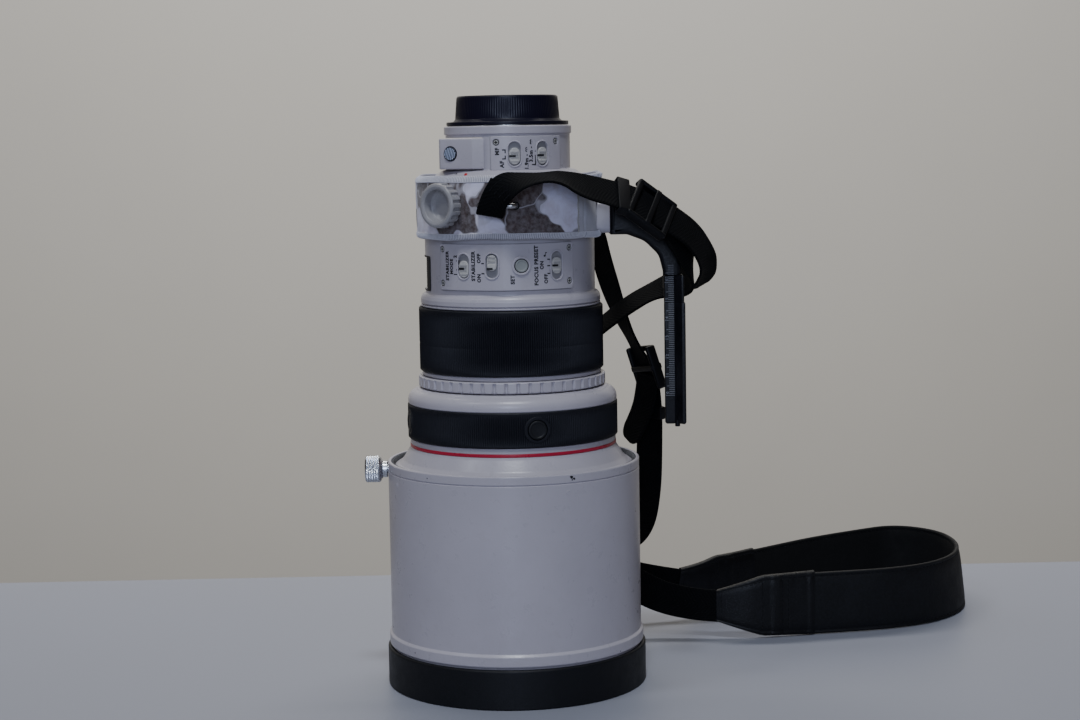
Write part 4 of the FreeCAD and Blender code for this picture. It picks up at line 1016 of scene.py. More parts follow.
# distance scale: plain numbers behind the window
p = Part()
sc = Wrap(39.12, 180.0, 39.12)
for txt, az, row in (("1.9", 172, 0), ("2", 183, 0), ("2.2", 194, 0), ("2.5", 207, 0), ("3", 222, 0), ("4", 240, 0), ("5", 256, 0), ("7", 274, 0), ("10", 292, 0), ("20", 310, 0),
                     ("6.2", 172, 1), ("7", 188, 1), ("8", 204, 1), ("10", 226, 1), ("15", 250, 1), ("20", 272, 1), ("30", 296, 1)):
    v, f = words(txt, 3.4, 0.05, False)
    p.add(*shifted((v, f), sc.u(az), 225.6 if row == 0 else 218.0), bend=lambda q: sc(q), mi=0 if row == 0 else 1)
for az in range(166, 320, 3):
    p.add(*shifted(plate([rect(-0.15, 0.15, -0.9, 0.9)], 0.06, 0.01, 0), sc.u(az), 221.8), bend=lambda q: sc(q), mi=0)
p.make("distance_numbers", [M["ink_white"], M["bright_knob"]], "distance_scale")


# -------------------------------------------------------------- main panel
FOLD_AZ = -94.0
# near-black enamel for a painted shadow line round the panel
M["panel_gap"] = paint("panel_gap_enamel", (0.035, 0.034, 0.036), 0.6, 0.3, 0.1)
mp = Wrap(45.2, FOLD_AZ, 46.4, fold=(0.0, 0.7, 13.0))


def on_main(part, vf, az, z, lift=0.0, mi=0):
    v, f = vf
    u0 = mp.u(az)
    part.add([(x + u0, y + z, w + lift) for x, y, w in v], f, bend=mp, mi=mi)


MAIN_SLOTS = {"stabiliser_mode_switch": (-121.1, 226.85, 12.6, 225.35), "stabiliser_switch": (-101.6, 227.1, 12.6, 228.6),
              "focus_preset_switch": (-58.6, 226.6, 14.4, 226.6)}
outl = [rect(mp.u(-142.0), mp.u(-45.0), 214.3, 238.3, 1.3, 6)]
for az, z, h, _ in MAIN_SLOTS.values():
    outl.append(obround(mp.u(az), z, 6.4, h, 12)[::-1])
outl.append(circle(mp.u(-82.8), 227.0, 3.6, 40)[::-1])
for az, z in ((-139.4, 235.4), (-139.4, 217.8), (-48.2, 235.5), (-48.2, 218.2)):
    outl.append(circle(mp.u(az), z, 1.75, 24)[::-1])
pan = Part()
v, f = plate(outl, 1.25, 0.35, 2, 1.6, at=(0.0,))
pan.add(v, f, bend=mp)


def slot_rim(part, put, az, z, w, h, grow, lift, thick=0.62, bevel=0.28, step=0.9):
    o = [obround(0, 0, w + 2 * grow, h + 2 * grow, 14), obround(0, 0, w + 0.1, h + 0.1, 14)[::-1]]
    put(part, plate(o, thick, bevel, 2, step), az, z, lift)


for az, z, h, _ in MAIN_SLOTS.values():
    slot_rim(pan, on_main, az, z, 6.4, h, 0.85, 1.05)
ringp = plate([circle(0, 0, 5.0, 48), circle(0, 0, 3.7, 40)[::-1]], 0.95, 0.42, 4, 0.9)
on_main(pan, ringp, -82.8, 227.0, 1.05)
# near-black ring between the SET button and its raised ring: painted shade in the gap
gapring = Part().spin([(3.28, -1.4), (3.72, -1.4), (3.72, 0.35), (3.28, 0.35)], 48, radial(-82.8, 227.0, 46.3))
pan.make("main_switch_plate", W, "barrel", ["main_switch_panel"], "white_paint", sharp=38)

# floors of the slots, darker than the panel as painted shade in the recesses, and a larger plate under the panel whose
# dark rim is a painted shadow line round it
p = Part()
for az, z, h, _ in MAIN_SLOTS.values():
    on_main(p, plate([obround(0, 0, 6.9, h + 0.5, 12)], 0.3, 0.05, 1, 1.2), az, z, -0.12)
on_main(p, plate([rect(mp.u(-142.0) - 0.30, mp.u(-45.0) + 0.34, 214.3 - 227.0 - 0.42, 238.3 - 227.0 + 0.16, 1.4, 6)], 0.22, 0.02, 0, 1.6), FOLD_AZ, 227.0, -0.10)
p.make("main_slot_floors", M["slot_floor"], "barrel")
gapring.make("set_button_gap", M["gap"], "barrel")


def slider(name, put, az, z, ribs, mark_v, body, w=5.7, h=8.7):
    q = Part()
    put(q, plate([obround(0, 0, w, h, 12)], 1.35, 0.42, 3, 0.8), az, z, 0.14)
    if ribs == "top":
        for k in range(5):
            put(q, shifted(plate([rect(-2.05, 2.05, -0.24, 0.24, 0.2, 3)], 0.5, 0.18, 2, 1.0), 0, 0.55 + 0.72 * k), az, z, 1.25)
            # thin strip in darker grey between the ribs: painted shade in the groove
            put(q, shifted(plate([rect(-1.95, 1.95, -0.10, 0.10)], 0.12, 0.01, 0, 1.0), 0, 0.19 + 0.72 * k), az, z, 1.44, 2)
        put(q, shifted(plate([rect(-2.2, 2.2, -1.3, 1.3, 0.9, 5)], 0.42, 0.2, 3, 1.0), 0, -2.0), az, z, 1.25)
    else:
        for s in (-1, 1):
            put(q, shifted(plate([rect(-2.2, 2.2, -0.55, 0.55, 0.4, 4)], 0.55, 0.22, 3, 1.0), 0, s * 2.35), az, z, 1.22)
        for k in range(-2, 3):
            # thin strips in darker grey between the ribs: painted shade in the grooves
            put(q, shifted(plate([rect(-1.95, 1.95, -0.09, 0.09)], 0.12, 0.01, 0, 1.0), 0, 0.62 * k + 0.31), az, z, 1.44, 2)
            if k:
                put(q, shifted(plate([rect(-2.1, 2.1, -0.11, 0.11, 0.08, 2)], 0.22, 0.06, 1, 1.0), 0, 0.62 * k), az, z, 1.42)
    put(q, shifted(plate([rect(-w / 2 + 0.05, 0.55, -0.52, 0.52, 0.1, 2)], 0.52 if ribs != "top" else 0.74, 0.05, 1, 0.8), 0, mark_v), az, z, 1.24, 1)
    q.make(name + "_slider", [M["switch_plastic"], M["ink"], M["slot_floor"]], body, [body], "switch_plastic", sharp=40)


slider("stabiliser_mode", on_main, -121.1, 225.35, "ends", 0.3, "stabiliser_mode_switch")
slider("stabiliser", on_main, -101.6, 228.6, "top", -2.9, "stabiliser_switch", w=5.2, h=8.2)
slider("focus_preset", on_main, -58.6, 226.6, "ends", 0.0, "focus_preset_switch")
Part().spin(soften([(0.0, -2.2), (3.3, -2.2), (3.3, 0.95, 0.45), (2.6, 0.95, 0.3), (2.2, 0.70, 0.5), (0.0, 0.62)], closed=False), 56, radial(-82.8, 227.0, 46.3), loop=False).make(
    "set_button_cap", M["button_grey"], "set_button", ["set_button"], "switch_plastic")

ink = Part()


def print_main(text, az, z, size):
    on_main(ink, words(text, size), az, z, 1.27)


print_main("STABILIZER", -134.3, 226.9, 2.72)
print_main("MODE", -130.6, 226.6, 2.6)
print_main("2", -127.4, 231.8, 2.7)
print_main("1", -127.4, 222.6, 2.7)
print_main("STABILIZER", -114.0, 227.0, 2.72)
print_main("OFF", -110.1, 231.0, 2.6)
print_main("ON", -110.1, 220.8, 2.6)
print_main("SET", -88.4, 219.9, 2.7)
print_main("FOCUS PRESET", -73.0, 226.9, 2.82)
print_main("ON", -69.3, 227.0, 2.6)
print_main("OFF", -66.5, 219.9, 2.6)


def strokes(part, put, az, z, segs, width=0.62, lift=1.27):
    """Printed lines: each (u0, v0, u1, v1) relative to the place."""
    for u0, v0, u1, v1 in segs:
        part_v = plate([rect(min(u0, u1) - width / 2, max(u0, u1) + width / 2, min(v0, v1) - width / 2, max(v0, v1) + width / 2)], 0.06, 0.01, 0)
        put(part, part_v, az, z, lift)


# brackets from the slots to their words
strokes(ink, on_main, -127.3, 0, [(0.7, 229.6, 2.2, 229.6), (2.2, 227.9, 2.2, 229.6), (0.7, 225.0, 2.2, 225.0), (2.2, 225.0, 2.2, 226.6), (2.2, 225.9, 2.9, 225.9)])
strokes(ink, on_main, -108.6, 0, [(0.4, 228.4, 1.9, 228.4), (1.9, 226.6, 1.9, 228.4), (0.4, 223.2, 1.9, 223.2), (1.9, 223.2, 1.9, 225.2)])
strokes(ink, on_main, -66.0, 0, [(0.6, 222.6, 2.1, 222.6), (2.1, 222.6, 2.1, 224.4), (0.6, 226.6, 2.6, 226.6), (0.6, 229.9, 2.1, 229.9), (2.1, 228.2, 2.1, 229.9)])
# sound symbol: a note
on_main(ink, plate([circle(-0.5, -0.6, 0.55, 16)], 0.06, 0.01, 0), -66.8, 232.4, 1.27)
strokes(ink, on_main, -66.8, 232.4, [(0.0, -0.5, 0.0, 1.1)], 0.25)
strokes(ink, on_main, -66.8, 232.4, [(0.0, 1.1, 0.6, 0.8)], 0.25)

scr = Part()
for az, z in ((-139.4, 235.4), (-139.4, 217.8), (-48.2, 235.5), (-48.2, 218.2)):
    screw_head(scr, radial(az, z, 46.22), 1.45)

# -------------------------------------------------------------- rear barrel
turned("rear_barrel_shell", [
    (21.0, 254.0), (24.0, 254.0), (24.0, 271.0), (45.6, 271.0, 0.2), (46.0, 271.4, 0.2), (45.6, 272.0, 0.3), (40.0, 272.5, 2.0), (35.2, 275.6, 1.5),
    (33.0, 276.0, 0.3), (33.0, 294.2, 0.15), (33.8, 294.6, 0.35), (33.8, 298.4, 0.5), (33.2, 298.7, 0.1), (32.4, 298.7), (32.4, 297.6), (24.0, 297.6), (24.0, 276.0), (21.0, 276.0)],
    W, "barrel", 224, replaces=["rear_barrel"], slot="white_paint")
c1 = cutter(Part().add(*block(-93.3, -13.3, -50, 50, 276.2, 292.8)))
c2 = cutter(Part().spin([(0, 276.2), (28.8, 276.2), (28.8, 292.8), (0, 292.8)], 96, loop=False).add(*block(-40, 0, -28.8, 28.8, 276.2, 292.8)))
carve(bpy.data.objects["rear_barrel_shell"], [c1])
carve(bpy.data.objects["rear_barrel_shell"], [c2])

rp = Wrap(33.0, -71.0, 34.2)


def on_rear(part, vf, az, z, lift=0.0, mi=0):
    v, f = vf
    u0 = rp.u(az)
    part.add([(x + u0, y + z, w + lift) for x, y, w in v], f, bend=rp, mi=mi)


REAR_SLOTS = {"af_mode_switch": (-84.3, 284.1, 12.4, 282.9), "focus_range_switch": (-58.6, 284.1, 12.4, 283.0)}
outl = [rect(rp.u(-105.5), rp.u(-37.0), 275.7, 293.3, 0.9, 5)]
for az, z, h, _ in REAR_SLOTS.values():
    outl.append(obround(rp.u(az), z, 6.4, h, 12)[::-1])
for az, z in ((-100.4, 290.1), (-43.2, 290.3)):
    outl.append(circle(rp.u(az), z, 1.75, 24)[::-1])
pan = Part()
v, f = plate(outl, 1.2, 0.3, 2, 1.3)
pan.add(v, f, bend=rp)
for az, z, h, _ in REAR_SLOTS.values():
    slot_rim(pan, on_rear, az, z, 6.4, h, 0.8, 1.0)
pan.make("rear_switch_plate", W, "barrel", ["rear_switch_panel"], "white_paint", sharp=38)
# slot floors and a plate under the panel in darker grey: painted shade in the slots and a painted shadow line round the
# panel
p = Part()
for az, z, h, _ in REAR_SLOTS.values():
    on_rear(p, plate([obround(0, 0, 6.9, h + 0.5, 12)], 0.3, 0.05, 1, 1.0), az, z, -0.12)
on_rear(p, plate([rect(rp.u(-105.5) - 0.50, rp.u(-37.0) + 0.30, 275.7 - 284.0 - 0.48, 293.3 - 284.0 + 0.14, 1.0, 5)], 0.22, 0.02, 0, 1.3), -71.0, 284.0, -0.10)
p.make("rear_slot_floors", M["slot_floor"], "barrel")
slider("af_mode", on_rear, -84.3, 282.9, "ends", 0.1, "af_mode_switch")
slider("focus_range", on_rear, -58.6, 283.0, "ends", 0.2, "focus_range_switch")


def print_rear(text, az, z, size):
    on_rear(ink, words(text, size), az, z, 1.22)


print_rear("AF", -95.2, 278.8, 2.9)
print_rear("MF", -99.3, 285.4, 2.9)
strokes(ink, on_rear, -94.6, 0, [(0.0, 281.6, 1.3, 281.6), (1.3, 281.6, 1.3, 283.0), (0.0, 286.2, 1.3, 286.2), (1.3, 284.8, 1.3, 286.2)], 0.62, 1.22)
print_rear("1.9m - ∞", -73.6, 281.7, 2.75)
print_rear("3.5m - ∞", -69.5, 285.6, 2.75)
strokes(ink, on_rear, -67.4, 0, [(-0.6, 278.4, 1.1, 278.4), (1.1, 278.4, 1.1, 283.1), (1.1, 283.1, 2.2, 283.1), (1.1, 285.3, 1.7, 285.3)], 0.62, 1.22)
ink.make("panel_lettering", M["ink"], "barrel")
for az, z in ((-100.4, 290.1), (-43.2, 290.3)):
    screw_head(scr, radial(az, z, 34.05), 1.45)
for a in (45, 135, 225, 315):
    screw_head(scr, Matrix.Translation((29.0 * cos(radians(a)), 29.0 * sin(radians(a)), 299.0)), 1.5)
scr.make("panel_screw_heads", [M["screw_grey"], M["gap"]], "barrel", ["barrel_screws"], "steel", sharp=40)
p = Part()
p.add(*plate([circle(0, 0, 1.0, 28)], 0.4, 0.18, 2), place=radial(-125.3, 273.6, 38.05) @ Matrix.Rotation(radians(-33), 4, 'X'))
p.make("index_dot", M["ink_red"], "barrel")
p = Part()
tilt = radial(-136.4, 274.0, 37.45) @ Matrix.Rotation(radians(-33), 4, 'X')
p.add(*plate([rect(-1.0, 0.9, -0.16, 0.16)], 0.2, 0.01, 0), place=tilt)
p.add(*plate([rect(-0.2, 0.6, 0.35, 0.62)], 0.2, 0.01, 0), place=tilt)
p.make("flange_mark", M["ink"], "barrel")

# bayonet and contacts
b = Part().spin(soften([(21.0, 297.6), (32.4, 297.6), (32.4, 299.0, 0.15), (24.0, 299.0), (24.0, 304.6, 0.3), (21.0, 304.6, 0.2)]), 160)
for k in range(3):
    b.spin(soften([(23.5, 300.6), (25.8, 300.6, 0.2), (25.8, 302.2, 0.2), (23.5, 302.2)]), 24, a0=120 * k - 27, a1=120 * k + 27)
b.make("bayonet_ring", M["steel"], "barrel", ["mount_bayonet"], "steel")
p = Part()
p.spin([(18.6, 298.6), (20.95, 298.6), (20.95, 303.4), (18.6, 303.4)], 24, a0=58, a1=122, mi=0)
for k in range(9):
    p.spin(soften([(0, 0), (0.75, 0), (0.75, 0.3, 0.12), (0, 0.42)], closed=False), 16, Matrix.Translation((19.8 * cos(radians(63 + 6.7 * k)), 19.8 * sin(radians(63 + 6.7 * k)), 303.35)), loop=False, mi=1)
p.make("contact_block", [M["cap_plastic"], M["contacts"]], "barrel", ["mount_contacts"], "contacts")

# ----------------------------------------------------- drop-in filter holder
hold = soften([(-12.5, -32.2, 0.9), (-18.6, -31.2, 1.2), (-35.9, -21.8, 2.4), (-35.9, 21.8, 2.4), (-18.6, 31.2, 1.2), (-12.5, 32.2, 0.9)], 6, 0.4, closed=False)
arc = [(28.0 * cos(radians(a)), 28.0 * sin(radians(a))) for a in range(121, 240, 4)]
hold = [tuple(q) for q in hold] + arc
v, f = plate([hold[::-1]], 16.0, 0.8, 4)
h = Part().add([(x, y, z + 276.5) for x, y, z in v], f)
h.make("filter_holder_block", W, "filter_holder", ["filter_holder"], "white_paint", sharp=30)
cut_ = []
for s in (-1, 1):
    nx, ny = -8.8 / 20.04, s * 18.0 / 20.04
    zc = Vector((nx, ny, 0))
    yc = Vector((0, 0, 1))
    xc = yc.cross(zc)
    pl = Matrix(((xc.x, yc.x, zc.x, -29.9), (xc.y, yc.y, zc.y, s * 24.9), (xc.z, yc.z, zc.z, 284.6), (0, 0, 0, 1)))
    cut_.append(cutter(Part().spin([(0, -4.4), (4.0, -4.4), (4.0, 6.0), (0, 6.0)], 48, pl, loop=False)))
    nm = "left" if s < 0 else "right"
    # the disc and ring below the ribs take the dark material: painted shade between the ribs and round the button
    q = Part().spin(soften([(0, -2.6), (3.2, -2.6), (3.2, 0.52), (0, 0.50)], closed=False), 64, pl, loop=False, mi=1)
    q.spin(soften([(3.15, -2.6), (3.62, -2.6), (3.62, 0.75, 0.2), (3.15, 0.75, 0.2)]), 64, pl, mi=1)
    for k in range(-3, 4):
        half = sqrt(3.2 ** 2 - (k * 0.92) ** 2)
        vv, ff = plate([rect(k * 0.92 - 0.25, k * 0.92 + 0.25, -half, half, 0.22, 3)], 0.60, 0.15, 2)
        q.add([(x, y, z + 0.38) for x, y, z in vv], ff, pl @ Matrix.Rotation(radians(-14), 4, 'Z'))
    q.make("filter_release_" + nm + "_button", [M["release_metal"], M["button_dark"]], "filter_release_" + nm, ["filter_release_button_" + nm], "bright_knob", sharp=40)
    # near-black sleeve lining the button's pocket: painted shade in the gap round the button
    Part().spin([(3.62, -4.3), (3.98, -4.3), (3.98, -0.6), (3.62, -0.6)], 48, pl).make("filter_release_" + nm + "_painted_shade_sleeve", M["gap"], "filter_holder")
carve(bpy.data.objects["filter_holder_block"], cut_)
p = Part().spin(soften([(24.5, 277.2, 0.3), (28.4, 277.2, 0.3), (28.4, 291.8, 0.3), (24.5, 291.8, 0.3)]), 160)
p.make("filter_frame", M["black_paint"], "filter_holder")


# ------------------------------------------------------------------ rear cap
def cap_ribs(r, z, a):
    k = np.clip((z - 303.0) / 0.6, 0, 1) * np.clip((313.3 - z) / 0.5, 0, 1) * (r > 26.4)
    return r + k * rib(a, 132, 0.36, 0.18, 0.3), z


g = soften([(0, 312.8), (25.2, 312.8, 0.4), (26.2, 303.2, 0.3), (26.5, 299.9, 0.2), (30.0, 299.9), (30.0, 299.1), (32.4, 299.1, 0.35), (32.4, 301.0, 0.45), (28.9, 301.2, 0.6), (27.75, 302.4, 0.6),
            (26.85, 313.8, 0.3), (26.2, 314.6, 0.5), (23.6, 314.6, 0.2), (23.2, 314.2, 0.2), (9.0, 314.2, 0.2), (8.6, 314.45, 0.15), (0, 314.5)], 3, closed=False)
out = []
for a_, b_ in zip(g, g[1:]):
    out.append(a_)
    if a_[0] > 26.6 and b_[1] - a_[1] > 1.5:
        out += [a_ + (b_ - a_) * i / 6 for i in range(1, 6)]
out.append(g[-1])
cap = Part().spin(out, 660, mod=cap_ribs, loop=False)
for k in range(3):
    cap.spin(soften([(23.8, 299.9), (25.9, 299.9, 0.3), (25.9, 301.4, 0.3), (23.8, 301.4, 0.2)]), 20, a0=120 * k + 50, a1=120 * k + 82)
cap.make("rear_cap_moulding", M["cap_plastic"], "rear_cap", ["rear_cap"], "cap_plastic", sharp=40)
# ------------------------------------------------------------------- collar
col = Part().spin(soften([(42.3, 241.8, 0.3), (47.4, 241.8, 0.6), (47.4, 270.4, 0.6), (42.3, 270.4, 0.3)]), 240)
v, f = plate([rect(-15.0, 15.0, 241.6, 258.8, 3.0, 6)], 7.6, 0.5, 3)
col.add([(z + 45.5, x, y) for x, y, z in v], f)
col.spin(soften([(46.8, 241.7, 0.2), (48.0, 241.7, 0.3), (48.0, 270.3, 0.3), (46.8, 270.3, 0.2)]), 24, a0=-22, a1=22)
col.make("collar_casting", W, "collar", ["collar_ring"], "white_paint")


def scallop(r, z, a):
    ph = np.mod(a * 18 / (2 * pi), 1.0)
    d = np.abs(ph - 0.5) * 2
    cut = np.clip((0.52 - d) / 0.52, 0, 1)
    cut = np.sqrt(np.clip(1 - (1 - cut) ** 2, 0, 1))
    outer = np.clip((r - 10.4) / 0.6, 0, 1) * np.clip((14.7 - z) / 0.7, 0, 1)
    return r - 1.05 * cut * outer, z


kp = soften([(0, 1.6), (3.0, 1.6, 0.2), (3.0, 7.6), (9.8, 7.6, 0.4), (11.6, 9.0, 0.9), (11.6, 14.4, 1.0), (11.1, 15.5, 0.7), (9.8, 15.9, 1.0), (8.3, 15.3, 0.7), (7.6, 10.8, 1.2), (5.4, 9.4, 2.4), (0, 9.1)], 5, closed=False)
out = []
for a_, b_ in zip(kp, kp[1:]):
    out.append(a_)
    if a_[0] > 10.5 and abs(b_[1] - a_[1]) > 0.9:
        q = int(abs(b_[1] - a_[1]) / 0.6) + 1
        out += [a_ + (b_ - a_) * i / q for i in range(1, q)]
out.append(kp[-1])
ck = radial(-130.0, 258.4, 42.7)
Part().spin(out, 432, ck, mod=scallop, loop=False).make("collar_lock_knob", M["knob_paint"], "collar_knob", ["collar_knob"], "white_paint", sharp=45)

# cover of stretch fabric
STALK = 17.6


def cover_shape(r, z, a):
    deg = np.degrees(a)
    deg = np.where(deg > 180, deg - 360, deg)
    n0 = (z - 240.8) / (270.2 - 240.8)
    zt = 272.75 + 0.35 * np.cos(a - 3.0) + 0.30 * np.sin(3 * a + 0.9) + 0.22 * np.sin(7 * a + 0.4) + 1.0 * np.exp(-((deg + 17) / 9.0) ** 2) + 0.8 * np.exp(-((deg - 16) / 8.0) ** 2)
    zb = 240.75 + 0.28 * np.sin(4 * a + 2.0) + 0.18 * np.sin(9 * a) - 0.75 * np.exp(-((deg + 26) / 10.0) ** 2) - 0.6 * np.exp(-((deg - 26) / 10.0) ** 2) + 0.15 * np.exp(-(deg / 10.0) ** 2)
    z2 = zb + (zt - zb) * n0
    outer = np.clip((r - 48.0) / 0.7, 0, 1)
    wr = 0.22 * np.sin(5 * a + 6 * n0 + 0.5) * np.sin(3.1 * n0 * pi + 2 * a) + 0.12 * np.sin(23 * a + 9 * n0) * (n0 - 0.5) * 2
    lump = 2.0 * np.exp(-((deg + 17) / 8.5) ** 2) * np.clip((n0 - 0.80) / 0.2, 0, 1) + 1.2 * np.exp(-((deg - 16) / 8.0) ** 2) * np.clip((n0 - 0.8) / 0.2, 0, 1)
    skirt = 1.7 * np.exp(-((deg + 24) / 7.5) ** 2) * np.clip((0.16 - n0) / 0.16, 0, 1) ** 1.2 + 1.5 * np.exp(-((deg - 24) / 7.5) ** 2) * np.clip((0.16 - n0) / 0.16, 0, 1) ** 1.2
    fold = 0.30 * np.exp(-((deg + 176 - 9 * (n0 - 0.5) ** 2) / 1.6) ** 2)
    seam = -0.55 * np.exp(-((deg + 36.5) / 0.8) ** 2) - 0.3 * np.clip((deg + 43.5) / 1.0, 0, 1) * np.clip((-20 - deg) / 2.0, 0, 1) - 0.55 * np.exp(-((deg - 38) / 0.8) ** 2)
    r2 = r + outer * (wr + fold + seam) + (0.25 + 0.75 * outer) * (lump + skirt)
    hug = 1.35 * np.clip((n0 - 0.90) / 0.10, 0, 1) ** 2 + 0.7 * np.clip((0.08 - n0) / 0.08, 0, 1) ** 2
    hug = hug * (1.0 - np.exp(-((deg + 17) / 12.0) ** 2) - np.exp(-((deg - 16) / 12.0) ** 2))
    return r2 - hug, z2


g = soften([(47.55, 240.8, 0.3), (49.1, 240.8, 0.6), (49.3, 255.5), (49.1, 270.2, 0.6), (47.55, 270.2, 0.3)], 4)
g = fill_line([tuple(q) for q in g], 1.15)
Part().spin(g, 480, mod=cover_shape).make("collar_cover_sleeve", M["neoprene"], "collar", ["collar_cover"], "neoprene", sharp=60)
v, f = plate([rect(-STALK, STALK, 241.5, 259.3, 2.6, 6)], 20.0, 0.6, 2)
slit = cutter(Part().add([(z + 42.0, x, y) for x, y, z in v], f))
carve(bpy.data.objects["collar_cover_sleeve"], [slit])


def cover_at(az, n0, off=0.0):
    a = np.array([radians(az % 360)])
    r, z = cover_shape(np.array([49.2]), np.array([240.8 + (270.2 - 240.8) * n0]), a)
    return np.array([(r[0] + off) * cos(a[0]), (r[0] + off) * sin(a[0]), z[0]])


# overlock stitches along both edges, and the binding seams
st = Part()
az = -180.0
while az < 180.0:
    for lo in (True, False):
        if lo:
            pts = [cover_at(az + 0.25, 0.085, 0.17), cover_at(az + 0.12, 0.045, 0.22), cover_at(az, 0.006, 0.16), cover_at(az - 0.1, -0.010, -0.7)]
        else:
            pts = [cover_at(az + 0.25, 0.915, 0.17), cover_at(az + 0.12, 0.955, 0.22), cover_at(az, 0.994, 0.16), cover_at(az - 0.1, 1.010, -0.7)]
        st.tube(pts, 0.20, 5)
    az += 1.15
for n0 in (0.088, 0.912):
    st.tube([cover_at(q * 1.5, n0, 0.06) for q in range(240)], 0.17, 5, ring=True)
st.make("cover_overlock", M["thread_white"], "collar")
bd = Part()
for a_ in (-43.6, 43.6):
    bd.tube([cover_at(a_ + 0.25 * sin(q * 0.9), 0.09 + 0.82 * q / 24.0, 0.10) for q in range(25)], 0.42, 8, flat=0.7)
    for q in range(17):
        n0 = 0.12 + 0.76 * q / 16.0
        bd.tube([cover_at(a_ + 1.5, n0, 0.04), cover_at(a_ + 1.5, n0 + 0.026, 0.05)], 0.15, 5)
bd.make("cover_binding", M["fold_grey"], "collar")

# strap lugs: bent steel wire, set in dark grommets
lg, gr = Part(), Part()
for s in (-1, 1):
    pl = radial(s * 96.4, 258.0)
    path = [(-8.9, 0, 47.0), (-8.9, 0, 51.6)] + [(-8.9 + 1.9 * (1 - cos(radians(a))), 0, 52.3 + 1.9 * sin(radians(a))) for a in range(0, 91, 15)]
    path += [(x, 0, 54.2) for x in (-5.0, -2.5, 0.0, 2.5, 5.0)]
    path += [(8.9 - 1.9 * (1 - sin(radians(a))), 0, 52.3 + 1.9 * cos(radians(a))) for a in range(0, 91, 15)] + [(8.9, 0, 51.6), (8.9, 0, 47.0)]
    lg.tube(path, 1.45, 14, place=pl)
    for x in (-8.9, 8.9):
        gr.spin(soften([(1.5, -0.6), (2.15, -0.6), (2.15, 0.25, 0.25), (1.75, 0.35, 0.2), (1.5, 0.1)]), 32, pl @ Matrix.Translation((x, 0, 49.5)))
lg.make("strap_lug_wires", M["steel"], "collar", ["strap_lugs"], "steel")
gr.make("lug_grommets", M["gap"], "collar")

# --------------------------------------------------------------- tripod foot
arm = soften([(53.0, 240.6, 0.8), (62.0, 240.6, 6.0), (71.0, 237.1, 12.0), (78.4, 229.6, 9.0), (80.5, 221.0, 8.0), (80.5, 212.0), (90.4, 212.0), (90.4, 226.0, 14.0), (89.6, 237.5, 12.0),
              (84.6, 247.0, 12.0), (76.5, 254.0, 14.0), (66.5, 258.0, 12.0), (53.0, 258.8, 1.5)], 6, 0.6)
v, f = plate([[tuple(q) for q in arm]], 30.0, 2.6, 5)


def lean(x, y):
    """The foot's sides draw in a little towards the far end."""
    return x + 0.085 * (y + 15.0) * min(1.0, max(0.0, (x - 58.0) / 20.0)) * min(1.0, max(0.0, (91.0 - x) / 9.0))


ft = Part().add([(lean(x, 15.0 - z), 15.0 - z, y) for x, y, z in v], f)


def foot_section(outer):
    return soften([(81.3, -16.0, 0.7), (81.0, -15.0, 0.6), (83.3, 15.0, 0.6), (83.9, 16.0, 0.5), (87.2, 16.0, 0.3), (87.2, 15.2, 0.25), (90.4, 19.0, 0.5), (outer, 19.0, 0.5),
                   (outer, -19.0, 0.5), (90.2, -19.0, 0.5), (86.6, -15.4, 0.25), (86.4, -16.0, 0.4)], 3, 0.3)


v, f = plate([[tuple(q) for q in foot_section(92.1)]], 65.4, 1.5, 5)
ft.add([(x, y, z + 139.6) for x, y, z in v], f)
v, f = plate([[tuple(q) for q in foot_section(91.5)]], 15.5, 1.2, 4)
ft.add([(x, y, z + 203.5) for x, y, z in v], f)
ft.make("foot_casting", M["foot_paint"], "collar", ["tripod_foot"], "foot_paint", sharp=36)
c = [cutter(Part().spin([(0, 0), (5.2, 0), (5.2, 12), (0, 12)], 48, Matrix.Translation((82.6, 0, 196.0)) @ Matrix.Rotation(pi / 2, 4, 'Y'), loop=False)),
     cutter(Part().spin([(0, 0), (3.7, 0), (3.7, 12), (0, 12)], 40, Matrix.Translation((82.6, 0, 166.0)) @ Matrix.Rotation(pi / 2, 4, 'Y'), loop=False))]
carve(bpy.data.objects["foot_casting"], c)
bush = Part()
for z, ro, ri in ((196.0, 5.18, 3.97), (166.0, 3.68, 2.6)):
    prof = [(ro, 0.0), (ro, 9.4), (ri + 0.5, 9.4)]
    w_ = 8.9
    while w_ > 0.6:
        prof += [(ri, w_), (ri + 0.45, w_ - 0.45)]
        w_ -= 0.9
    prof += [(ri, 0.0)]
    bush.spin(prof, 48, Matrix.Translation((82.65, 0, z)) @ Matrix.Rotation(pi / 2, 4, 'Y'))
bush.spin(soften([(0, 0), (1.35, 0, 0.3), (1.35, 3.4), (0, 3.4)], closed=False), 32, Matrix.Translation((87.6, -15.2, 138.2)), loop=False, mi=1)
bush.make("foot_bushes_and_pin", [M["steel"], M["black_anodised"]], "collar", slot="steel", sharp=50)

# millimetre scale on the plate's side
tk = Part()
for i in range(70):
    z = 155.0 + i
    ln = 5.0 if i % 10 == 0 else (4.2 if i % 5 == 0 else 3.0)
    y = -16.0 if z < 218.6 else -15.0
    v, f = plate([rect(86.3 - ln, 86.3, z - 0.11, z + 0.11)], 0.07, 0.01, 0)
    tk.add([(a_, y + 0.01 - c_, b_) for a_, b_, c_ in v], f)
    if i % 10 == 0:
        v, f = words(str(i // 10), 2.3, 0.05, bold=0.0)
        tk.add([(a_ + 82.5, y - 0.04 - c_, b_ + z + 1.4) for a_, b_, c_ in v], f)
tk.make("foot_scale_marks", M["ink_grey"], "collar")


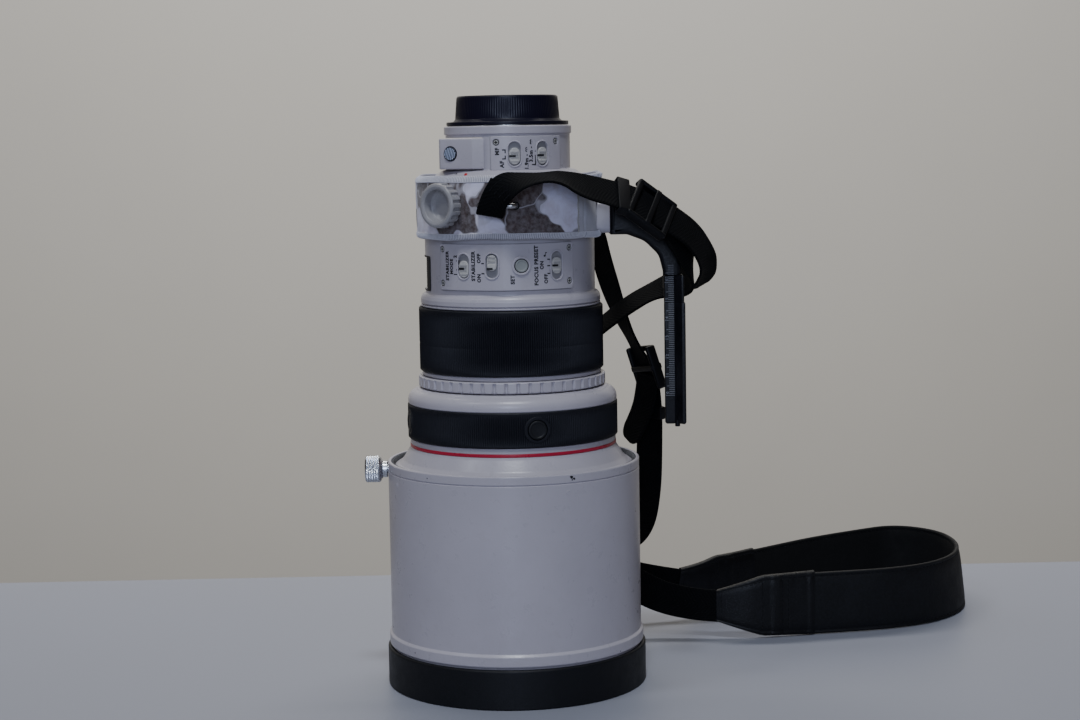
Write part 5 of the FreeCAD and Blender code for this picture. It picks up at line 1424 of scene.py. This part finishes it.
# -------------------------------------------------------------------- strap
WEB_SECT = [(-1.0, 0.22), (-0.985, 0.62), (-0.945, 0.98), (-0.88, 1.10), (-0.80, 1.02), (-0.60, 0.95), (-0.40, 1.0), (-0.20, 0.95), (0.0, 1.0),
            (0.20, 0.95), (0.40, 1.0), (0.60, 0.95), (0.80, 1.02), (0.88, 1.10), (0.945, 0.98), (0.985, 0.62), (1.0, 0.22)]


def band(part, fr, thick, sect=WEB_SECT, ripple=None, mi=0, mi_back=None):
    """Flat band along a route's frames; ripple(s, a, side) adds to the half thickness in mm."""
    c, t, w, n, width, s = fr
    k = len(sect)
    a = np.array([q[0] for q in sect])
    h = np.array([q[1] for q in sect]) * thick / 2
    m = len(c)
    rows = []
    for side in (1, -1):
        hh = np.repeat(h[None, :], m, 0)
        if ripple is not None:
            hh = hh + ripple(s[:, None], a[None, :] * width[:, None] / 2, side)
        aa = a if side == 1 else a[::-1]
        hh = hh if side == 1 else hh[:, ::-1]
        p = c[:, None, :] + w[:, None, :] * (aa[None, :, None] * width[:, None, None] / 2) + n[:, None, :] * (hh[:, :, None] * side)
        rows.append(p)
    v = np.concatenate(rows, axis=1)
    kk = 2 * k
    faces, uv, mis = [], [], []
    across = np.concatenate([a, a[::-1]])
    for i in range(m - 1):
        for j in range(kk):
            j2 = (j + 1) % kk
            faces.append([i * kk + j, i * kk + j2, (i + 1) * kk + j2, (i + 1) * kk + j])
            uv.append([(s[i] * MM, across[j] * width[i] / 2 * MM), (s[i] * MM, across[j2] * width[i] / 2 * MM),
                       (s[i + 1] * MM, across[j2] * width[i + 1] / 2 * MM), (s[i + 1] * MM, across[j] * width[i + 1] / 2 * MM)])
            mis.append(mi if (mi_back is None or j < k - 1) else mi_back)
    faces.append(list(range(kk))[::-1])
    uv.append([(0.0, 0.0)] * kk)
    faces.append([(m - 1) * kk + j for j in range(kk)])
    uv.append([(0.0, 0.0)] * kk)
    mis += [mi, mi]
    part.add(v.reshape(-1, 3), faces, uv=uv)
    part.mi[-len(faces):] = mis
    return part


def twill(s, x, side):
    return 0.028 * np.sin(2 * pi * (s / 2.2 + np.abs(x) / 2.6)) + 0.02 * np.sin(2 * pi * x / 1.9)


def lug_end(rows, sgn):
    """Rows of a band's end in the object's frame."""
    pl = radial(sgn * 96.4, 258.0)
    out = []
    for x, y, r, a in rows:
        q = pl @ Vector((x, y, r))
        w = pl.to_3x3() @ Vector((cos(radians(a)), -sin(radians(a)), 0.0))
        if w.x < 0:
            w = -w
        out.append((q.x, q.y, q.z, w.x, w.y, w.z))
    return out


ALL_FRONT = lug_end(END_FRONT, -1) + WEB_FRONT[1:]
ALL_REAR = lug_end(END_REAR, 1) + WEB_REAR[1:]
front_w = [14.0] * len(END_FRONT) + [14.2, 15.0, 16.0, 17.2] + [19.0] * (len(WEB_FRONT) - 5)
rear_w = [14.0] * len(END_REAR) + [14.4, 16.0, 18.0, 19.0] + [19.0] * (len(WEB_REAR) - 5)
fr_front = band_frames(ALL_FRONT, 40, front_w)
fr_rear = band_frames(ALL_REAR, 32, rear_w)
fr_tf = band_frames(TAIL_FRONT, 44, [19.0] * len(TAIL_FRONT))
fr_tr = band_frames(TAIL_REAR, 44, [19.0] * len(TAIL_REAR))
for fr_ in (fr_tf, fr_tr):
    back = np.clip((fr_[5] - (fr_[5][-1] - 7.0)) / 7.0, 0.0, 1.0)
    fr_[4][:] = 19.0 * (0.28 + 0.72 * np.sqrt(1.0 - 0.96 * back ** 2))
web_front = band(Part(), fr_front, 1.3, ripple=twill).make("webbing_front", M["webbing"], "collar", ["strap_webbing_front"], "webbing", sharp=70)
web_rear = band(Part(), fr_rear, 1.3, ripple=twill).make("webbing_rear", M["webbing"], "collar", ["strap_webbing_rear"], "webbing", sharp=70)
tail_front = band(Part(), fr_tf, 1.3, ripple=twill).make("webbing_front_tail", M["webbing"], "collar", ["strap_webbing_front"], "webbing", sharp=70)
tail_rear = band(Part(), fr_tr, 1.3, ripple=twill).make("webbing_rear_tail", M["webbing"], "collar", ["strap_webbing_rear"], "webbing", sharp=70)


def frame_at(fr, place):
    """Matrix at the point of a band that is nearest to a place: X along, Y across, Z out of the band."""
    c, t, w, n, width, s = fr
    i = int(np.argmin(np.linalg.norm(c - np.array(place), axis=1)))
    z = np.cross(t[i], w[i])
    return Matrix(((t[i][0], w[i][0], z[0], c[i][0]), (t[i][1], w[i][1], z[1], c[i][1]), (t[i][2], w[i][2], z[2], c[i][2]), (0, 0, 0, 1)))


def bar(part, x0, x1, y0, y1, z0, z1, r, place):
    v, f = plate([rect(x0, x1, y0, y1, min(r, (x1 - x0) * 0.45, (y1 - y0) * 0.45), 4)], z1 - z0, min(r, (z1 - z0) * 0.42), 3)
    part.add([(a_, b_, c_ + z0) for a_, b_, c_ in v], f, place)


def triglide(part, m, up):
    """Moulded slider: side rails, end bars over the band, a middle bar above and below it."""
    u = 1.0 if up else -1.0
    flip = m @ Matrix.Diagonal((1, 1, u, 1))
    for s in (-1, 1):
        bar(part, -12.5, 12.5, s * 11.5 - 1.35, s * 11.5 + 1.35, -2.5, 3.4, 1.3, flip)
    bar(part, -12.5, -9.3, -11.6, 11.6, 0.95, 3.1, 1.0, flip)
    bar(part, 9.3, 12.5, -11.6, 11.6, 0.95, 3.1, 1.0, flip)
    bar(part, -1.7, 1.7, -11.6, 11.6, -2.9, -0.8, 0.9, flip)
    bar(part, -1.5, 1.5, -11.6, 11.6, 2.9, 4.1, 0.55, flip)
    for s in (-1, 1):
        bar(part, -1.7, 1.7, s * 11.2 - 1.2, s * 11.2 + 1.2, -2.9, 4.0, 0.8, flip)


def keeper(part, m, w=20.2, t=3.0, wall=1.4):
    """Loop that holds the loose end down."""
    o = [rect(-w / 2 - wall, w / 2 + wall, -t / 2 - wall + 0.2, t / 2 + wall - 0.2, wall - 0.1, 5), rect(-w / 2, w / 2, -t / 2, t / 2, 0.6, 4)[::-1]]
    v, f = plate(o, 7.0, 0.5, 3)
    part.add([(c_ - 3.5, a_, b_) for a_, b_, c_ in v], f, m)


bf, br = Part(), Part()
m1 = frame_at(fr_front, SLIDER_AT[0])
m2 = frame_at(fr_rear, SLIDER_AT[1])
triglide(bf, m1, m1.col[2].xyz.dot(Vector((1.0, -1.0, 0.8))) > 0)
triglide(br, m2, m2.col[2].xyz.dot(Vector((0.6, 1.0, 0.0))) > 0)
keeper(bf, frame_at(fr_front, KEEPER_AT[0]))
keeper(br, frame_at(fr_rear, KEEPER_AT[1]), 19.3, 2.9, 0.85)
buckle_front = bf.make("slider_and_keeper_front", M["buckle_plastic"], "collar", ["strap_buckles"], "buckle_plastic", sharp=40)
buckle_rear = br.make("slider_and_keeper_rear", M["buckle_plastic"], "collar", ["strap_buckles"], "buckle_plastic", sharp=40)

PAD_SECT = [(-1.0, 0.25), (-0.99, 0.62), (-0.965, 0.86), (-0.93, 0.86), (-0.90, 0.62), (-0.87, 0.60), (-0.84, 0.74), (-0.78, 0.92), (-0.60, 1.0), (-0.35, 1.0), (-0.12, 1.0), (0.12, 1.0),
            (0.35, 1.0), (0.60, 1.0), (0.78, 0.92), (0.84, 0.74), (0.87, 0.60), (0.90, 0.62), (0.93, 0.86), (0.965, 0.86), (0.99, 0.62), (1.0, 0.25)]


def pad_ripple(s, x, side):
    q = 0.10 * np.sin(s / 19.0 + 0.6) * np.cos(x / 11.0) + 0.06 * np.sin(s / 7.3 + x / 5.0)
    return q * np.clip((15.5 - np.abs(x)) / 4.0, 0, 1)


fr_pad = band_frames(PAD, 16, [PAD_W] * len(PAD))
pad = band(Part(), fr_pad, 3.0, PAD_SECT, pad_ripple, mi=0, mi_back=1).make("neck_pad", [M["pad_inner"], M["pad_outer"]], "collar", ["strap_pad"], "neoprene", sharp=60)


def tab_ripple(s, x, side):
    ridge = 0.45 * np.exp(-((s - 34.5) / 3.0) ** 4) + 0.40 * np.exp(-((s - 55.5) / 1.6) ** 4)
    return 0.10 * np.sin(s / 6.5 + 0.4) * np.clip((16 - np.abs(x)) / 5.0, 0, 1) + ridge * np.clip((18.5 - np.abs(x)) / 1.0, 0, 1)


TAB_SECT = [(-1.0, 0.3), (-0.985, 0.66), (-0.95, 0.9), (-0.90, 1.0), (-0.86, 0.86), (-0.83, 0.86), (-0.80, 0.98), (-0.6, 1.03), (-0.3, 1.05), (0.0, 1.05), (0.3, 1.05), (0.6, 1.03), (0.80, 0.98),
            (0.83, 0.86), (0.86, 0.86), (0.90, 1.0), (0.95, 0.9), (0.985, 0.66), (1.0, 0.3)]
fr_t1 = band_frames(TAB_FRONT, 22, TAB_W)
fr_t2 = band_frames(TAB_REAR, 22, TAB_W[::-1])
fr_t1[4][:] = np.interp(fr_t1[5], [0.0, 24.5, 27.5, 58.0], [18.6, 34.4, 35.7, 37.8])
fr_t2[4][:] = np.interp(fr_t2[5][-1] - fr_t2[5], [0.0, 23.5, 26.5, 56.0], [18.6, 34.4, 35.7, 37.8])
tab_front = band(Part(), fr_t1, 4.4, TAB_SECT, tab_ripple).make("leather_tab_front", M["strap_leather"], "collar", ["strap_tabs"], "strap_leather", sharp=60)
tab_rear = band(Part(), fr_t2, 4.4, TAB_SECT, lambda s_, x_, side: tab_ripple(fr_t2[5][-1] - s_, x_, side)).make("leather_tab_rear", M["strap_leather"], "collar", ["strap_tabs"], "strap_leather", sharp=60)


def stitches(part, fr, pts, lift, pitch=2.6, length=1.7, r=0.26):
    """Stitch line through (distance, across) corners on both faces of a band."""
    c, t, w, n, width, s = fr
    for (s0, x0), (s1, x1) in zip(pts, pts[1:]):
        ln = hypot(s1 - s0, x1 - x0)
        k = max(1, int(ln / pitch))
        for q in range(k):
            f0, f1 = (q + 0.5 - length / pitch / 2) / k, (q + 0.5 + length / pitch / 2) / k
            for side in (-1, 1):
                pp = []
                for fq in (f0, (f0 + f1) / 2, f1):
                    ss, xx = s0 + (s1 - s0) * fq, x0 + (x1 - x0) * fq
                    i = int(np.clip(np.searchsorted(s, ss), 1, len(s) - 1))
                    g_ = (ss - s[i - 1]) / max(s[i] - s[i - 1], 1e-6)
                    ci = c[i - 1] + (c[i] - c[i - 1]) * g_
                    pp.append(ci + w[i] * xx + n[i] * side * (lift + (0.05 if fq not in (f0, f1) else -0.12)))
                part.tube(pp, r, 6)


th = Part()
L1, L2, LP = fr_t1[5][-1], fr_t2[5][-1], fr_pad[5][-1]
for fr_, ln_, flip in ((fr_t1, L1, False), (fr_t2, L2, True)):
    g_ = (lambda q: ln_ - q) if flip else (lambda q: q)
    wd = lambda q: float(np.interp(q, fr_[5], fr_[4]))
    pts = [(g_(3.0), -wd(g_(3.0)) / 2 + 2.6), (g_(16.0), -wd(g_(16.0)) / 2 + 2.9), (g_(26.0), -wd(g_(26.0)) / 2 + 3.0)]
    stitches(th, fr_, pts, 2.02)
    stitches(th, fr_, [(a_, -b_) for a_, b_ in pts], 2.02)
    for q in (3.0, 26.0, 38.0, 41.5):
        hw_ = wd(g_(q)) / 2 - 2.8
        stitches(th, fr_, [(g_(q), -hw_), (g_(q), hw_)], 2.28)
    stitches(th, fr_, [(g_(41.5), -16.1), (g_(ln_ - 2.0), -16.1)], 2.02)
    stitches(th, fr_, [(g_(41.5), 16.1), (g_(ln_ - 2.0), 16.1)], 2.02)
stitches(th, fr_pad, [(6.0, -16.1), (LP - 6.0, -16.1)], 0.98, 3.2, 2.1, 0.22)
stitches(th, fr_pad, [(6.0, 16.1), (LP - 6.0, 16.1)], 0.98, 3.2, 2.1, 0.22)
stitching = th.make("strap_stitching", M["thread_black"], "collar")
# bar tacks where the band's end is sewn to itself
bt = Part()
for fr_, s0 in ((fr_front, 32.0), (fr_rear, 31.0)):
    for dx in (-4.5, -1.5, 1.5, 4.5):
        stitches(bt, fr_, [(s0, dx), (s0 + 7.0, dx + 0.6)], 0.74, 2.0, 1.3, 0.2)
bt.make("strap_bar_tacks", M["thread_black"], "collar")


# ----------------------------------------------------------- floor and light
def stage_plane(name, co, faces, c0, c1, rough):
    t = Tree(name)
    v = t.coords()
    d = t.noise(v, 3.0, 4.0, 0.6)
    f = t.noise(v, 420.0, 2.0, 0.5)
    t.set(base=t.mix(t.range(d, 0.3, 0.7, 0.0, 1.0), c0, c1), rough=t.range(d, 0.3, 0.7, rough - 0.04, rough + 0.04), normal=t.bump(f, 0.05, 0.0002), spec=0.4)
    me = bpy.data.meshes.new(name)
    me.from_pydata(co, [], faces)
    me.materials.append(t.mat)
    o = bpy.data.objects.new(name, me)
    COL.objects.link(o)


FAR = 0.275
stage_plane("table_top", [(-2.4, -3.2, 0), (2.4, -3.2, 0), (2.4, FAR, 0), (-2.4, FAR, 0), (-2.4, FAR + 0.004, -0.004), (2.4, FAR + 0.004, -0.004), (-2.4, FAR + 0.004, -0.03), (2.4, FAR + 0.004, -0.03)],
            [(0, 1, 2, 3), (3, 2, 5, 4), (4, 5, 7, 6)], (0.275, 0.288, 0.345), (0.290, 0.303, 0.362), 0.46)
stage_plane("wall", [(-5, 3.4, -3), (5, 3.4, -3), (5, 3.4, 4), (-5, 3.4, 4)], [(0, 1, 2, 3)], (0.60, 0.58, 0.54), (0.615, 0.595, 0.555), 0.8)
world = bpy.data.worlds.new("studio")
bpy.context.scene.world = world
world.use_nodes = True
bg = world.node_tree.nodes.get('Background')
bg.inputs['Color'].default_value = (0.58, 0.51, 0.44, 1.0)
bg.inputs['Strength'].default_value = 0.13


def area(name, loc, aim, size, watts, color=(1, 1, 1), size_y=None):
    li = bpy.data.lights.new(name, 'AREA')
    li.shape = 'RECTANGLE'
    li.size = size
    li.size_y = size_y or size
    li.energy = watts
    li.color = color
    o = bpy.data.objects.new(name, li)
    COL.objects.link(o)
    d = Vector(aim) - Vector(loc)
    o.matrix_world = Matrix.Translation(Vector(loc)) @ d.to_track_quat('-Z', 'Y').to_matrix().to_4x4()
    return o


area("window", (-0.16, -2.7, 0.95), (0.0, 0, 0.15), 0.55, 20.5, (0.62, 0.73, 1.0), 1.0)
area("ceiling_front", (0.0, -0.95, 2.1), (0.0, 0, 0.15), 0.30, 21.0, (0.88, 0.94, 1.0))
area("ceiling_left", (-1.25, -0.75, 1.9), (0.0, 0, 0.15), 0.30, 4.5, (0.92, 0.96, 1.0))
area("wall_wash", (0.0, 1.0, 2.2), (0.0, 3.4, 0.2), 2.2, 94.0, (1.0, 0.985, 0.955), 0.8)
